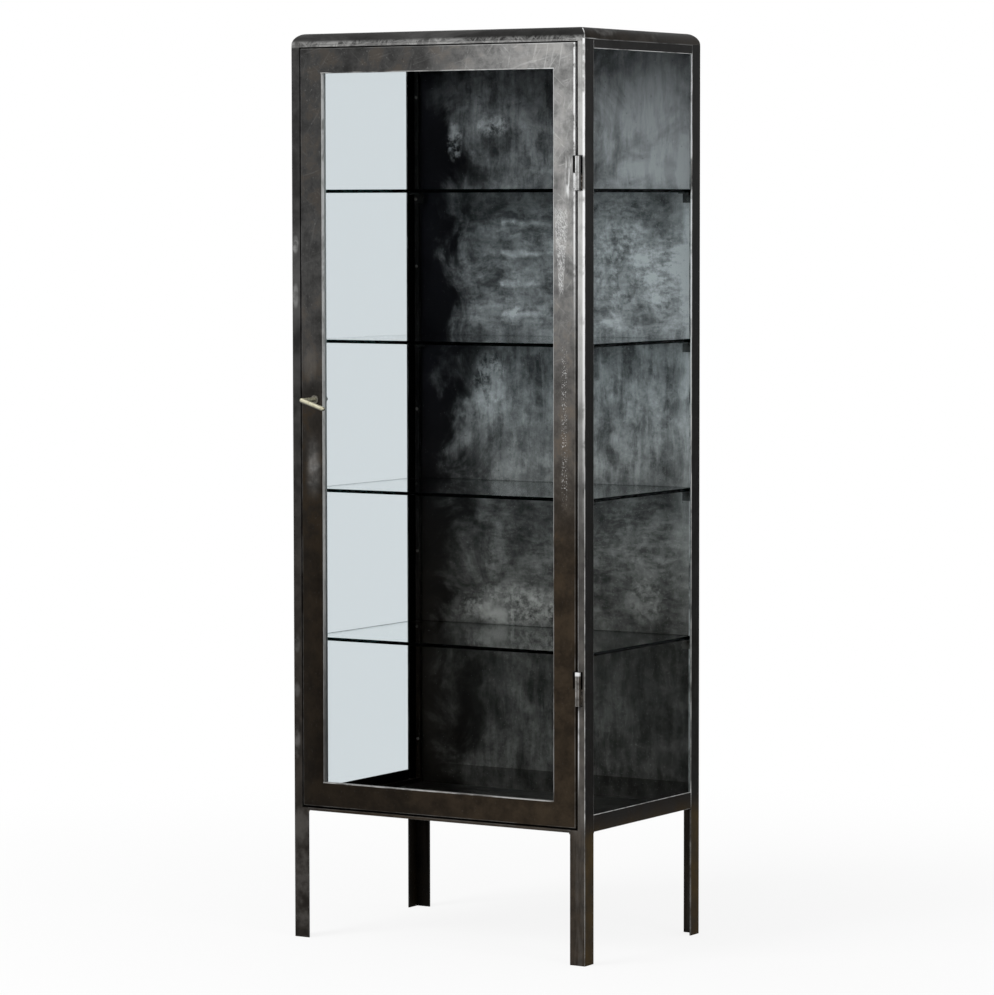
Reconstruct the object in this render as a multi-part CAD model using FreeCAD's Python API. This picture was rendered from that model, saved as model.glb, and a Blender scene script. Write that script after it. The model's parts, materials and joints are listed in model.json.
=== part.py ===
import FreeCAD, Part
import math
import os

# Glazed steel medicine cabinet on four angle legs.
# Lengths are in millimetres. X runs along the front, Y to the back and Z up. The origin lies on the
# floor, under the middle of the whole part with its handle.

# Carcass
width = 600.0
depth = 400.0
height = 1600.0
leg_height = 228.0

# Angle iron of the posts and rails
angle_flange = 30.0
angle_wall = 3.0
post_reveal = 14.0
sill_height = 5.0
header_drop = 4.0
side_rail_drop = 16.0

# Roof, floor and back sheets
roof_roll = 20.0
roof_sheet = 2.0
floor_sheet = 2.0
back_sheet = 1.5

# Glass
pane_thickness = 4.0
door_glass_thickness = 4.0
shelf_thickness = 6.0

# Side glazing beads, square bars
bead_size = 8.0
bead_screw_height_shares = (0.06, 0.32, 0.515, 0.71, 0.94)
bead_screw_depth_shares = (0.08, 0.5, 0.92)

# Shelves and their corner brackets
shelf_count = 4
first_shelf_share = 0.2204
shelf_pitch_share = 0.1966
shelf_side_gap = 2.0
bracket_length = 20.0
bracket_drop = 18.0
bracket_reach = 16.0
bracket_wall = 2.0
bracket_screw_drop_share = 0.6

# Door frame of folded sheet
door_side_gap = 5.0
latch_side_gap = 2.5
door_top_gap = 2.0
door_bottom_gap = 3.5
door_depth = 20.0
door_face = 44.0
door_sheet = 1.5
door_back_lip = 12.0
glass_recess = 8.0
glass_seat = 10.0
glass_lap = 6.0
bead_setback = 4.0
door_screw_stile_shares = (0.08, 0.29, 0.5, 0.71, 0.92)
door_screw_rail_shares = (0.18, 0.5, 0.82)

# Door stops, flat bars behind the door
stop_wall = 3.0
stop_lap = 20.0
stop_gap = 0.4

# Lift-off barrel hinges
hinge_height = 58.0
hinge_height_shares = (0.179, 0.8351)
hinge_proud = 1.0
knuckle_radius = 5.0
barrel_clearance = 0.75
pin_radius = 2.5
pin_inset = 3.0
pin_end_gap = 0.5
washer_thickness = 1.0
washer_radius = 4.6
leaf_wall = 3.0
leaf_reach = 15.0
door_notch = 5.0
post_notch_room = 4.0
notch_clearance = 1.0
weld_recess = 0.8

# Lever handle and latch
handle_height_share = 0.5394
handle_reach = 44.0
handle_drop_angle = 18.0
spindle_inset = 28.5
spindle_radius = 3.0
spindle_socket = 15.0
spindle_end = 1.0
bush_radius = 4.5
rose_radius = 8.0
rose_height = 3.5
rose_round = 2.5
neck_radius = 4.0
lever_length = 49.0
lever_depth = 8.0
elbow_radius = 4.0
tip_radius = 3.8
lever_round_share = 0.42
tongue_length = 28.0
tongue_width = 10.0
tongue_wall = 3.0
tongue_hub_radius = 7.0
tongue_gap = 0.4
nut_flats = 10.0
nut_height = 4.0
keeper_wall = 1.5
keeper_below = 42.0
keeper_above = 22.0
keeper_screw_inset = 6.0

# Slotted round-head screws
screw_radius = 1.5
screw_head_radius = 3.0
screw_head_height = 1.8
small_screw_radius = 1.2
small_screw_head_radius = 2.2
small_screw_head_height = 1.3
screw_slot_width_share = 0.28
screw_slot_depth_share = 0.45

# Fits
sheet_fit = 0.5
running_gap = 0.4
turning_clearance = 0.05
hole_clearance = 0.1
passing_clearance = 0.3
screw_tip_gap = 0.5
overrun = 5.0

# Places that follow from the sizes
X_AXIS = FreeCAD.Vector(1, 0, 0)
Y_AXIS = FreeCAD.Vector(0, 1, 0)
Z_AXIS = FreeCAD.Vector(0, 0, 1)
HANDS = (-1, 1)
SIDES = tuple(zip(("left", "right"), HANDS))

half_width = width / 2
front = (handle_reach - depth) / 2
back = front + depth
inner_half = half_width - angle_wall
flange_half = half_width - angle_flange
frame_top = height - roof_roll
ceiling = frame_top - angle_wall
header_bottom = frame_top - header_drop
sill_top = leg_height + sill_height
floor_bottom = leg_height + angle_wall
floor_top = floor_bottom + floor_sheet
front_flange_end = front + angle_flange
rear_flange_end = back - angle_flange
back_panel_back = back - angle_wall
back_panel_front = back_panel_back - back_sheet

opening_half = half_width - post_reveal
door_half = opening_half - door_side_gap
door_width = 2 * door_half
door_bottom = sill_top + door_bottom_gap
door_top = header_bottom - door_top_gap
door_height = door_top - door_bottom
stop_front = front + door_depth + stop_gap
stop_back = stop_front + stop_wall

pane_inner = inner_half - pane_thickness
bead_inner = pane_inner - bead_size
front_bead_back = stop_back + bead_size
rear_bead_front = back_panel_front - bead_size
bead_mid = pane_inner - bead_size / 2
bead_height = ceiling - floor_top

hinge_x = door_half + knuckle_radius + barrel_clearance
hinge_y = front - hinge_proud
knuckle_height = (hinge_height - washer_thickness - running_gap) / 2
post_notch_x = hinge_x + knuckle_radius + post_notch_room

handle_x = spindle_inset - door_half
handle_z = door_bottom + handle_height_share * door_height
keeper_back = stop_back + keeper_wall
tongue_front = keeper_back + tongue_gap
tongue_back = tongue_front + tongue_wall
nut_back = tongue_back + nut_height
neck_base = front - rose_height - running_gap


def block(x_range, y_range, z_range):
    """Box between the low and high values of its three ranges."""
    low = [min(ends) for ends in (x_range, y_range, z_range)]
    spans = [abs(ends[1] - ends[0]) for ends in (x_range, y_range, z_range)]
    return Part.makeBox(*spans, FreeCAD.Vector(*low))


def prism(points, sweep):
    """Solid swept from a closed outline of points along a vector."""
    outline = Part.makePolygon(points + points[:1])
    solid = Part.Face(outline).extrude(sweep)
    if solid.Volume < 0:
        solid.reverse()
    return solid


def rod(radius, start, end):
    """Round bar between two points."""
    run = end - start
    return Part.makeCylinder(radius, run.Length, start, run)


def save(node, solids):
    """Write one node's solids to its own file."""
    shape = solids[0] if len(solids) == 1 else Part.makeCompound(solids)
    shape.exportStep(os.path.join("parts", node + ".step"))
    print(node, len(shape.Solids), "solids", round(shape.Volume), "mm3", "valid", shape.isValid())


def screw(seat, inward, length, radius, head_radius, head_height):
    """Slotted round-head screw whose head sits on the point seat and whose shank runs inward."""
    cap_radius = (head_radius ** 2 + head_height ** 2) / (2 * head_height)
    mid_angle = math.asin(head_radius / cap_radius) / 2
    cap_middle = FreeCAD.Vector(cap_radius * math.sin(mid_angle), 0,
                                head_height - cap_radius + cap_radius * math.cos(mid_angle))
    tip = FreeCAD.Vector(0, 0, -length)
    tip_edge = FreeCAD.Vector(radius, 0, -length)
    neck = FreeCAD.Vector(radius, 0, 0)
    rim = FreeCAD.Vector(head_radius, 0, 0)
    crown = FreeCAD.Vector(0, 0, head_height)
    edges = [Part.makeLine(tip, tip_edge), Part.makeLine(tip_edge, neck), Part.makeLine(neck, rim),
             Part.Arc(rim, cap_middle, crown).toShape(), Part.makeLine(crown, tip)]
    body = Part.Face(Part.Wire(edges)).revolve(FreeCAD.Vector(0, 0, 0), Z_AXIS, 360)
    slot_half = screw_slot_width_share * head_radius / 2
    slot_floor = head_height * (1 - screw_slot_depth_share)
    slot = block((-head_radius, head_radius), (-slot_half, slot_half), (slot_floor, 2 * head_height))
    body = body.cut(slot)
    body.Placement = FreeCAD.Placement(seat, FreeCAD.Rotation(Z_AXIS, -inward))
    return body


def screw_hole(seat, inward, length, radius):
    """Clearance bore for a screw, open at the seat."""
    start = seat - inward * overrun
    return rod(radius + hole_clearance, start, seat + inward * length)


class ScrewRow:
    """A row of like screws: their seats, the way they are driven and how deep they reach."""

    def __init__(self, seats, inward, length, small=False):
        self.seats = seats
        self.inward = inward
        self.length = length
        self.sizes = (screw_radius, screw_head_radius, screw_head_height)
        if small:
            self.sizes = (small_screw_radius, small_screw_head_radius, small_screw_head_height)

    def screws(self):
        return [screw(seat, self.inward, self.length, *self.sizes) for seat in self.seats]

    def holes(self):
        return [screw_hole(seat, self.inward, self.length, self.sizes[0]) for seat in self.seats]


def bored(shape, rows):
    """Shape with the holes of its screw rows cut through it."""
    holes = [hole for row in rows for hole in row.holes()]
    touching = [hole for hole in holes if hole.BoundBox.intersect(shape.BoundBox)]
    return shape.cut(Part.makeCompound(touching)) if touching else shape


def side_bead_rows(hand):
    """Screw rows of one side's four glazing beads: front, rear, bottom and top."""
    x = hand * bead_mid
    heights = [floor_top + share * bead_height for share in bead_screw_height_shares]
    run = rear_bead_front - front_bead_back
    depths = [front_bead_back + share * run for share in bead_screw_depth_shares]
    bottom_seat = floor_top + bead_size
    top_seat = ceiling - bead_size
    return {
        "front": ScrewRow([FreeCAD.Vector(x, front_bead_back, z) for z in heights], -Y_AXIS,
                          bead_size + stop_wall - screw_tip_gap),
        "rear": ScrewRow([FreeCAD.Vector(x, rear_bead_front, z) for z in heights], Y_AXIS,
                         bead_size + back_sheet + angle_wall - screw_tip_gap),
        "bottom": ScrewRow([FreeCAD.Vector(x, y, bottom_seat) for y in depths], -Z_AXIS,
                           bead_size + floor_sheet + angle_wall - screw_tip_gap),
        "top": ScrewRow([FreeCAD.Vector(x, y, top_seat) for y in depths], Z_AXIS,
                        bead_size + angle_wall - screw_tip_gap),
    }


def shelf_underside(index):
    """Height of one shelf's lower face, counted from the lowest shelf."""
    share = first_shelf_share + index * shelf_pitch_share
    return floor_top + share * (header_bottom - floor_top)


def bracket_rows(index, hand):
    """Screw rows that hold the front and the rear bracket of one shelf on one side."""
    z = shelf_underside(index) - bracket_screw_drop_share * bracket_drop
    length = bracket_wall + bead_size - screw_tip_gap
    front_seat = FreeCAD.Vector(hand * bead_mid, front_bead_back + bracket_wall, z)
    rear_seat = FreeCAD.Vector(hand * bead_mid, rear_bead_front - bracket_wall, z)
    return [ScrewRow([front_seat], -Y_AXIS, length), ScrewRow([rear_seat], Y_AXIS, length)]


def keeper_row():
    """Screw row of the latch keeper on the left door stop."""
    x = -(flange_half + bead_inner) / 2
    ends = (handle_z - keeper_below + keeper_screw_inset, handle_z + keeper_above - keeper_screw_inset)
    seats = [FreeCAD.Vector(x, keeper_back, z) for z in ends]
    return ScrewRow(seats, -Y_AXIS, keeper_wall + stop_wall - screw_tip_gap, small=True)


def hinge_base(share):
    """Height of a hinge's lower end."""
    return door_bottom + share * door_height - hinge_height / 2


def angle_post(hand, y_outer, inward):
    """Full-height corner angle with its heel at the outer corner."""
    x_outer = hand * half_width
    corner = [(0, 0), (angle_flange, 0), (angle_flange, angle_wall),
              (angle_wall, angle_wall), (angle_wall, angle_flange), (0, angle_flange)]
    points = [FreeCAD.Vector(x_outer - hand * across, y_outer + inward * along, 0)
              for across, along in corner]
    return prism(points, Z_AXIS * frame_top)


def front_post(hand):
    """Front corner post, its front flange trimmed beside the door and notched at the hinges."""
    post = angle_post(hand, front, 1)
    flange_y = (front - overrun, front + angle_wall)
    trimmed_half = opening_half if hand > 0 else door_half + latch_side_gap
    post = post.cut(block((hand * trimmed_half, hand * (flange_half - overrun)), flange_y,
                          (sill_top, header_bottom)))
    if hand > 0:
        for share in hinge_height_shares:
            low = hinge_base(share) - notch_clearance
            high = hinge_base(share) + hinge_height + notch_clearance
            post = post.cut(block((opening_half - overrun, post_notch_x), flange_y, (low, high)))
    return post


def rear_post(hand):
    """Rear corner post, bored for the rear bead screws."""
    return bored(angle_post(hand, back, -1), [side_bead_rows(hand)["rear"]])


def make_posts():
    for side, hand in SIDES:
        save("post_front_" + side, [front_post(hand)])
        save("post_rear_" + side, [rear_post(hand)])


def side_rail(hand, low, high, flat_range, rows):
    """Side rail: an upright flange in the side face and a flat flange that turns inward."""
    y_range = (front_flange_end, rear_flange_end)
    upright = block((hand * inner_half, hand * half_width), y_range, (low, high))
    flat = block((hand * flange_half, hand * inner_half), y_range, flat_range)
    return bored(upright.fuse(flat).removeSplitter(), rows)


def make_rails():
    inside = (-flange_half, flange_half)
    for side, hand in SIDES:
        rows = side_bead_rows(hand)
        bottom = side_rail(hand, leg_height, leg_height + angle_flange, (leg_height, floor_bottom),
                           [rows["bottom"]])
        top = side_rail(hand, frame_top - side_rail_drop, frame_top, (ceiling, frame_top), [rows["top"]])
        save("bottom_rail_" + side, [bottom])
        save("top_rail_" + side, [top])

    sill = block(inside, (front, front + angle_wall), (leg_height, sill_top))
    ledge = block(inside, (front, front_flange_end), (leg_height, floor_bottom))
    save("bottom_rail_front", [sill.fuse(ledge).removeSplitter()])
    save("top_rail_front", [block(inside, (front, front_flange_end), (header_bottom, frame_top))])

    upright = block(inside, (back_panel_back, back), (leg_height, leg_height + angle_flange))
    flat = block(inside, (rear_flange_end, back), (leg_height, floor_bottom))
    save("bottom_rail_rear", [upright.fuse(flat).removeSplitter()])
    upright = block(inside, (back_panel_back, back), (frame_top - angle_flange, frame_top))
    flat = block(inside, (rear_flange_end, back), (ceiling, frame_top))
    save("top_rail_rear", [upright.fuse(flat).removeSplitter()])


def rolled_edge(corner, inward, run):
    """Rolled sheet edge of the roof from one corner along run, mitred at both ends."""
    inner = roof_roll - roof_sheet
    half_turn = math.sqrt(0.5)

    def point(inset, rise):
        return corner + inward * inset + Z_AXIS * rise

    edges = [
        Part.Arc(point(0, 0), point(roof_roll - half_turn * roof_roll, half_turn * roof_roll),
                 point(roof_roll, roof_roll)).toShape(),
        Part.makeLine(point(roof_roll, roof_roll), point(roof_roll, inner)),
        Part.Arc(point(roof_roll, inner), point(roof_roll - half_turn * inner, half_turn * inner),
                 point(roof_sheet, 0)).toShape(),
        Part.makeLine(point(roof_sheet, 0), point(0, 0)),
    ]
    bar = Part.Face(Part.Wire(edges)).extrude(run)
    along = FreeCAD.Vector(run).normalize()
    reach = roof_roll + overrun
    for end, step in ((corner, along), (corner + run, -along)):
        base = end - Z_AXIS * overrun
        wedge = [base - inward * overrun - step * overrun, base + inward * reach - step * overrun,
                 base + inward * reach + step * reach]
        bar = bar.cut(prism(wedge, Z_AXIS * (roof_roll + 2 * overrun)))
    return bar


def roof_shell():
    """Pressed roof: a flat top with four rolled edges that meet at mitres."""
    corners = [FreeCAD.Vector(x, y, frame_top) for x, y in
               ((-half_width, front), (half_width, front), (half_width, back), (-half_width, back))]
    runs = zip(corners, corners[1:] + corners[:1], (Y_AXIS, -X_AXIS, -Y_AXIS, X_AXIS))
    bars = [rolled_edge(corner, inward, following - corner) for corner, following, inward in runs]
    top = block((roof_roll - half_width, half_width - roof_roll), (front + roof_roll, back - roof_roll),
                (height - roof_sheet, height))
    return top.multiFuse(bars).removeSplitter()


def make_sheets():
    save("roof", [roof_shell()])
    sheet_half = inner_half - sheet_fit
    floor = block((-sheet_half, sheet_half),
                  (front + angle_wall + sheet_fit, back_panel_back - sheet_fit), (floor_bottom, floor_top))
    rear = block((-sheet_half, sheet_half), (back_panel_front, back_panel_back),
                 (floor_top, ceiling - sheet_fit))
    for hand in HANDS:
        rows = side_bead_rows(hand)
        floor = bored(floor, [rows["bottom"]])
        rear = bored(rear, [rows["rear"]])
    save("floor_panel", [floor])
    save("back_panel", [rear])


def make_door_stops():
    y_range = (stop_front, stop_back)
    for side, hand in SIDES:
        stop = block((hand * flange_half, hand * inner_half), y_range, (floor_top, header_bottom))
        rows = [side_bead_rows(hand)["front"]]
        if hand < 0:
            rows.append(keeper_row())
        save("door_stop_" + side, [bored(stop, rows)])
    inside = (-flange_half, flange_half)
    save("door_stop_top", [block(inside, y_range, (header_bottom - stop_lap, header_bottom))])
    save("door_stop_bottom", [block(inside, y_range, (floor_top, floor_top + stop_lap))])


def side_beads(hand):
    """The four bars that hold one side pane against its frame."""
    rows = side_bead_rows(hand)
    x_range = (hand * bead_inner, hand * pane_inner)
    full_height = (floor_top, ceiling)
    between = (front_bead_back, rear_bead_front)
    holders = [row for index in range(shelf_count) for row in bracket_rows(index, hand)]
    return [
        bored(block(x_range, (stop_back, front_bead_back), full_height), [rows["front"]] + holders),
        bored(block(x_range, (rear_bead_front, back_panel_front), full_height), [rows["rear"]] + holders),
        bored(block(x_range, between, (floor_top, floor_top + bead_size)), [rows["bottom"]]),
        bored(block(x_range, between, (ceiling - bead_size, ceiling)), [rows["top"]]),
    ]


def make_side_glazing():
    for side, hand in SIDES:
        pane = block((hand * pane_inner, hand * inner_half),
                     (stop_back + sheet_fit, back_panel_front - sheet_fit), (floor_top, ceiling - sheet_fit))
        save("side_glass_" + side, [pane])
        save("side_beads_" + side, side_beads(hand))
        rows = side_bead_rows(hand)
        save("side_bead_screws_" + side, [piece for row in rows.values() for piece in row.screws()])


def shelf_bracket(index, hand, seat_y, inward):
    """Small angle under one corner of a shelf, screwed to the bead behind it."""
    top = shelf_underside(index)
    outer = pane_inner - sheet_fit
    x_range = (hand * (outer - bracket_length), hand * outer)
    upright = block(x_range, (seat_y, seat_y + inward * bracket_wall), (top - bracket_drop, top))
    ledge = block(x_range, (seat_y, seat_y + inward * (bracket_wall + bracket_reach)),
                  (top - bracket_wall, top))
    return bored(upright.fuse(ledge).removeSplitter(), bracket_rows(index, hand))


def make_shelves():
    shelf_half = pane_inner - shelf_side_gap
    y_range = (front_bead_back + sheet_fit, rear_bead_front - sheet_fit)
    screws = []
    for index in range(shelf_count):
        low = shelf_underside(index)
        shelf = block((-shelf_half, shelf_half), y_range, (low, low + shelf_thickness))
        save("shelf_%d" % (index + 1), [shelf])
        brackets = []
        for hand in HANDS:
            brackets.append(shelf_bracket(index, hand, front_bead_back, 1))
            brackets.append(shelf_bracket(index, hand, rear_bead_front, -1))
            screws += [piece for row in bracket_rows(index, hand) for piece in row.screws()]
        save("shelf_brackets_%d" % (index + 1), brackets)
    save("bracket_screws", screws)


def door_point(edge, inset, recess, along):
    """Point of the door's frame: in from an outer edge, back from the face and along the edge."""
    y = front + recess
    if edge == "left":
        return FreeCAD.Vector(-door_half + inset, y, door_bottom + along)
    if edge == "right":
        return FreeCAD.Vector(door_half - inset, y, door_bottom + along)
    if edge == "top":
        return FreeCAD.Vector(-door_half + along, y, door_top - inset)
    return FreeCAD.Vector(-door_half + along, y, door_bottom + inset)


def edge_length(edge):
    return door_height if edge in ("left", "right") else door_width


def mitred_bar(edge, profile):
    """Bar of the door along one edge, its section given as inset and recess, mitred at both ends."""
    length = edge_length(edge)
    start = [door_point(edge, inset, recess, 0) for inset, recess in profile]
    bar = prism(start, door_point(edge, 0, 0, length) - door_point(edge, 0, 0, 0))
    reach = door_face + overrun
    near = [(-overrun, -overrun), (reach, -overrun), (reach, reach)]
    far = [(inset, length - along) for inset, along in near]
    for corner in (near, far):
        wedge = [door_point(edge, inset, -overrun, along) for inset, along in corner]
        bar = bar.cut(prism(wedge, Y_AXIS * (door_depth + 2 * overrun)))
    return bar


def frame_profile():
    """Folded section of a door member: face, outer web with a back lip, inner return and glass seat."""
    seat_edge = door_face - glass_seat
    return [
        (0, 0), (door_face, 0), (door_face, glass_recess), (seat_edge, glass_recess),
        (seat_edge, glass_recess - door_sheet), (door_face - door_sheet, glass_recess - door_sheet),
        (door_face - door_sheet, door_sheet), (door_sheet, door_sheet),
        (door_sheet, door_depth - door_sheet), (door_back_lip, door_depth - door_sheet),
        (door_back_lip, door_depth), (0, door_depth),
    ]


def bead_profile():
    """Stepped section of a door bead: it fills the seat beside the glass and laps the glass."""
    seat_edge = door_face - glass_seat
    step = door_face - glass_lap - sheet_fit
    inner_edge = door_face - bead_setback
    glass_back = glass_recess + door_glass_thickness
    return [(seat_edge, glass_recess), (step, glass_recess), (step, glass_back), (inner_edge, glass_back),
            (inner_edge, door_depth), (seat_edge, door_depth)]


def door_bead_row(edge):
    """Screw row that holds one door bead on its seat."""
    shares = door_screw_stile_shares if edge in ("left", "right") else door_screw_rail_shares
    middle = door_face - (glass_seat + glass_lap + sheet_fit) / 2
    seats = [door_point(edge, middle, door_depth, share * edge_length(edge)) for share in shares]
    length = door_depth - glass_recess + door_sheet - hole_clearance
    return ScrewRow(seats, -Y_AXIS, length, small=True)


def make_door_frame():
    beads = []
    screws = []
    names = {"left": "door_stile_left", "right": "door_stile_right",
             "top": "door_rail_top", "bottom": "door_rail_bottom"}
    for edge, name in names.items():
        row = door_bead_row(edge)
        member = bored(mitred_bar(edge, frame_profile()), [row])
        if edge == "left":
            axis_front = FreeCAD.Vector(handle_x, front - overrun, handle_z)
            axis_back = FreeCAD.Vector(handle_x, front + door_sheet + running_gap, handle_z)
            member = member.cut(rod(spindle_radius + passing_clearance, axis_front, axis_back))
        if edge == "right":
            for share in hinge_height_shares:
                high = hinge_base(share) + hinge_height
                low = high - knuckle_height
                member = member.cut(block((door_half - door_notch, door_half + overrun),
                                          (front - overrun, front + door_sheet + leaf_wall + notch_clearance),
                                          (low - notch_clearance, high + notch_clearance)))
        save(name, [member])
        beads.append(bored(mitred_bar(edge, bead_profile()), [row]))
        screws += row.screws()
    save("door_beads", beads)
    save("door_bead_screws", screws)
    glass_inset = door_face - glass_lap
    glass_half = door_half - glass_inset
    save("door_glass", [block((-glass_half, glass_half),
                              (front + glass_recess, front + glass_recess + door_glass_thickness),
                              (door_bottom + glass_inset, door_top - glass_inset))])


def hinge_point(z):
    return FreeCAD.Vector(hinge_x, hinge_y, z)


def make_hinges():
    washers = []
    bore_radius = pin_radius + turning_clearance
    for place, share in zip(("lower", "upper"), hinge_height_shares):
        base = hinge_base(share)
        top = base + hinge_height
        split = base + knuckle_height
        door_end = top - knuckle_height
        pin_low = base + pin_inset
        pin_high = top - pin_inset

        fixed = rod(knuckle_radius, hinge_point(base), hinge_point(split))
        fixed = fixed.fuse(block((hinge_x, inner_half),
                                 (front + angle_wall, front + angle_wall + leaf_wall), (base, split)))
        fixed = fixed.fuse(block((hinge_x, post_notch_x),
                                 (front + weld_recess, front + angle_wall), (base, split)))
        fixed = fixed.cut(rod(bore_radius, hinge_point(pin_low), hinge_point(split + overrun)))
        save("hinge_knuckle_fixed_" + place, [fixed.removeSplitter()])

        swung = rod(knuckle_radius, hinge_point(door_end), hinge_point(top))
        swung = swung.fuse(block((door_half - leaf_reach, hinge_x),
                                 (front + door_sheet, front + door_sheet + leaf_wall), (door_end, top)))
        swung = swung.cut(rod(bore_radius, hinge_point(door_end - overrun),
                              hinge_point(pin_high + pin_end_gap)))
        save("hinge_knuckle_door_" + place, [swung.removeSplitter()])

        save("hinge_pin_" + place, [rod(pin_radius, hinge_point(pin_low), hinge_point(pin_high))])
        ring = rod(washer_radius, hinge_point(split), hinge_point(split + washer_thickness))
        washers.append(ring.cut(rod(bore_radius, hinge_point(base), hinge_point(top))))
    save("hinge_washers", washers)


def handle_point(y):
    return FreeCAD.Vector(handle_x, y, handle_z)


def handle_ring(outer_radius, bore_radius, y_start, y_end):
    """Sleeve round the spindle between two depths."""
    tube = rod(outer_radius, handle_point(y_start), handle_point(y_end))
    return tube.cut(rod(bore_radius, handle_point(y_start - overrun), handle_point(y_end + overrun)))


def make_rose_and_bush():
    rose = rod(rose_radius, handle_point(front - rose_height), handle_point(front))
    rim = [edge for edge in rose.Edges if edge.Closed and edge.BoundBox.YMax < front - rose_height / 2]
    rose = rose.makeFillet(min(rose_round, rose_height - running_gap), rim)
    hole = rod(spindle_radius + passing_clearance, handle_point(front - rose_height - overrun),
               handle_point(front + overrun))
    save("handle_rose", [rose.cut(hole)])
    save("spindle_bush", [handle_ring(bush_radius, spindle_radius + turning_clearance,
                                      front + door_sheet, front + door_depth)])


def lever_outline(y):
    """Closed outline of the lever: two rounded ends joined by straight tapering sides."""
    fall = math.radians(handle_drop_angle)
    along = FreeCAD.Vector(math.cos(fall), 0, -math.sin(fall))
    up = FreeCAD.Vector(math.sin(fall), 0, math.cos(fall))
    elbow = handle_point(y)
    run = lever_length - tip_radius
    tip = elbow + along * run
    lean = (elbow_radius - tip_radius) / run
    side = math.sqrt(1 - lean ** 2)
    over = along * lean + up * side
    under = along * lean - up * side
    edges = [
        Part.makeLine(elbow + over * elbow_radius, tip + over * tip_radius),
        Part.Arc(tip + over * tip_radius, tip + along * tip_radius, tip + under * tip_radius).toShape(),
        Part.makeLine(tip + under * tip_radius, elbow + under * elbow_radius),
        Part.Arc(elbow + under * elbow_radius, elbow - along * elbow_radius,
                 elbow + over * elbow_radius).toShape(),
    ]
    return Part.Wire(edges)


def make_handle():
    grip_front = front - handle_reach
    grip = Part.Face(lever_outline(grip_front)).extrude(Y_AXIS * lever_depth)
    rounding = lever_round_share * min(lever_depth, 2 * elbow_radius, 2 * tip_radius)
    outline = [edge for edge in grip.Edges if edge.BoundBox.YLength < rounding]
    grip = grip.makeFillet(rounding, outline)
    neck = rod(neck_radius, handle_point(grip_front + lever_depth / 2), handle_point(neck_base))
    socket_end = neck_base - spindle_socket
    socket = rod(spindle_radius + turning_clearance, handle_point(socket_end), handle_point(front))
    save("handle_lever", [grip.fuse(neck).cut(socket).removeSplitter()])
    spindle = rod(spindle_radius, handle_point(socket_end), handle_point(nut_back + spindle_end))
    save("handle_spindle", [spindle])
    save("spacer_sleeve", [handle_ring(bush_radius, spindle_radius + turning_clearance,
                                       front + door_depth + running_gap, tongue_front)])


def make_latch():
    tongue = rod(tongue_hub_radius, handle_point(tongue_front), handle_point(tongue_back))
    half = tongue_width / 2
    arm_end = handle_z - tongue_length + half
    tongue = tongue.fuse(block((handle_x - half, handle_x + half), (tongue_front, tongue_back),
                               (arm_end, handle_z)))
    tongue = tongue.fuse(rod(half, FreeCAD.Vector(handle_x, tongue_front, arm_end),
                             FreeCAD.Vector(handle_x, tongue_back, arm_end)))
    bore = rod(spindle_radius + turning_clearance, handle_point(tongue_front - overrun),
               handle_point(nut_back + overrun))
    save("latch_tongue", [tongue.cut(bore).removeSplitter()])

    corner_radius = nut_flats / math.sqrt(3)
    corners = [handle_point(tongue_back) + FreeCAD.Vector(math.cos(turn), 0, math.sin(turn)) * corner_radius
               for turn in (math.radians(60 * corner) for corner in range(6))]
    save("tongue_nut", [prism(corners, Y_AXIS * nut_height).cut(bore)])

    keeper = block((-bead_inner + sheet_fit, -flange_half), (stop_back, keeper_back),
                   (handle_z - keeper_below, handle_z + keeper_above))
    row = keeper_row()
    save("latch_keeper", [bored(keeper, [row])])
    save("keeper_screws", row.screws())


def main():
    os.makedirs("parts", exist_ok=True)
    make_posts()
    make_rails()
    make_sheets()
    make_door_stops()
    make_side_glazing()
    make_shelves()
    make_door_frame()
    make_hinges()
    make_rose_and_bush()
    make_handle()
    make_latch()


main()
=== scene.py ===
import json
import math

import bmesh
import bpy
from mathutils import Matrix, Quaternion, Vector


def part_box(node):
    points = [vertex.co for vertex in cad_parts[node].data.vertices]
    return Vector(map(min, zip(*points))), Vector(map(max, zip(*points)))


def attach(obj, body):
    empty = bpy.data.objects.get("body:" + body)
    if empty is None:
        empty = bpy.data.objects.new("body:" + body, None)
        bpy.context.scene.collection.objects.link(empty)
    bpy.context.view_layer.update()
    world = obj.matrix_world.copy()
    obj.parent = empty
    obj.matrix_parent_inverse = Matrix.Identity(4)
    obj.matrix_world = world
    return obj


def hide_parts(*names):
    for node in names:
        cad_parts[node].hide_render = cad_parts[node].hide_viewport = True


bl_info = {
    "name": "Glazed steel cabinet finishes",
    "version": (1, 0, 0),
    "blender": (4, 5, 0),
    "location": "View3D > Sidebar > Cabinet",
    "description": "Dresses the glazed steel cabinet with worn steel, glass and weld beads",
    "category": "Object",
}

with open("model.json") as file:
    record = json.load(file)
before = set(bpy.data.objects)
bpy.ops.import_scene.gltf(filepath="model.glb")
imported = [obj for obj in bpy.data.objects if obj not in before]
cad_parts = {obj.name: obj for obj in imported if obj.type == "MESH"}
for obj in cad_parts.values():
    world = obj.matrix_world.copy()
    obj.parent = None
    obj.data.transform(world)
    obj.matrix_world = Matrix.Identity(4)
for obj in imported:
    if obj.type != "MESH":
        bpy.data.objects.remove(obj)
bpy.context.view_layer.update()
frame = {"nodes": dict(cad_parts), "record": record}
NODES = frame["nodes"]
NODE_BODY = {node: body for body, nodes in frame["record"]["behaviour"]["bodies"].items() for node in nodes}

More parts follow.
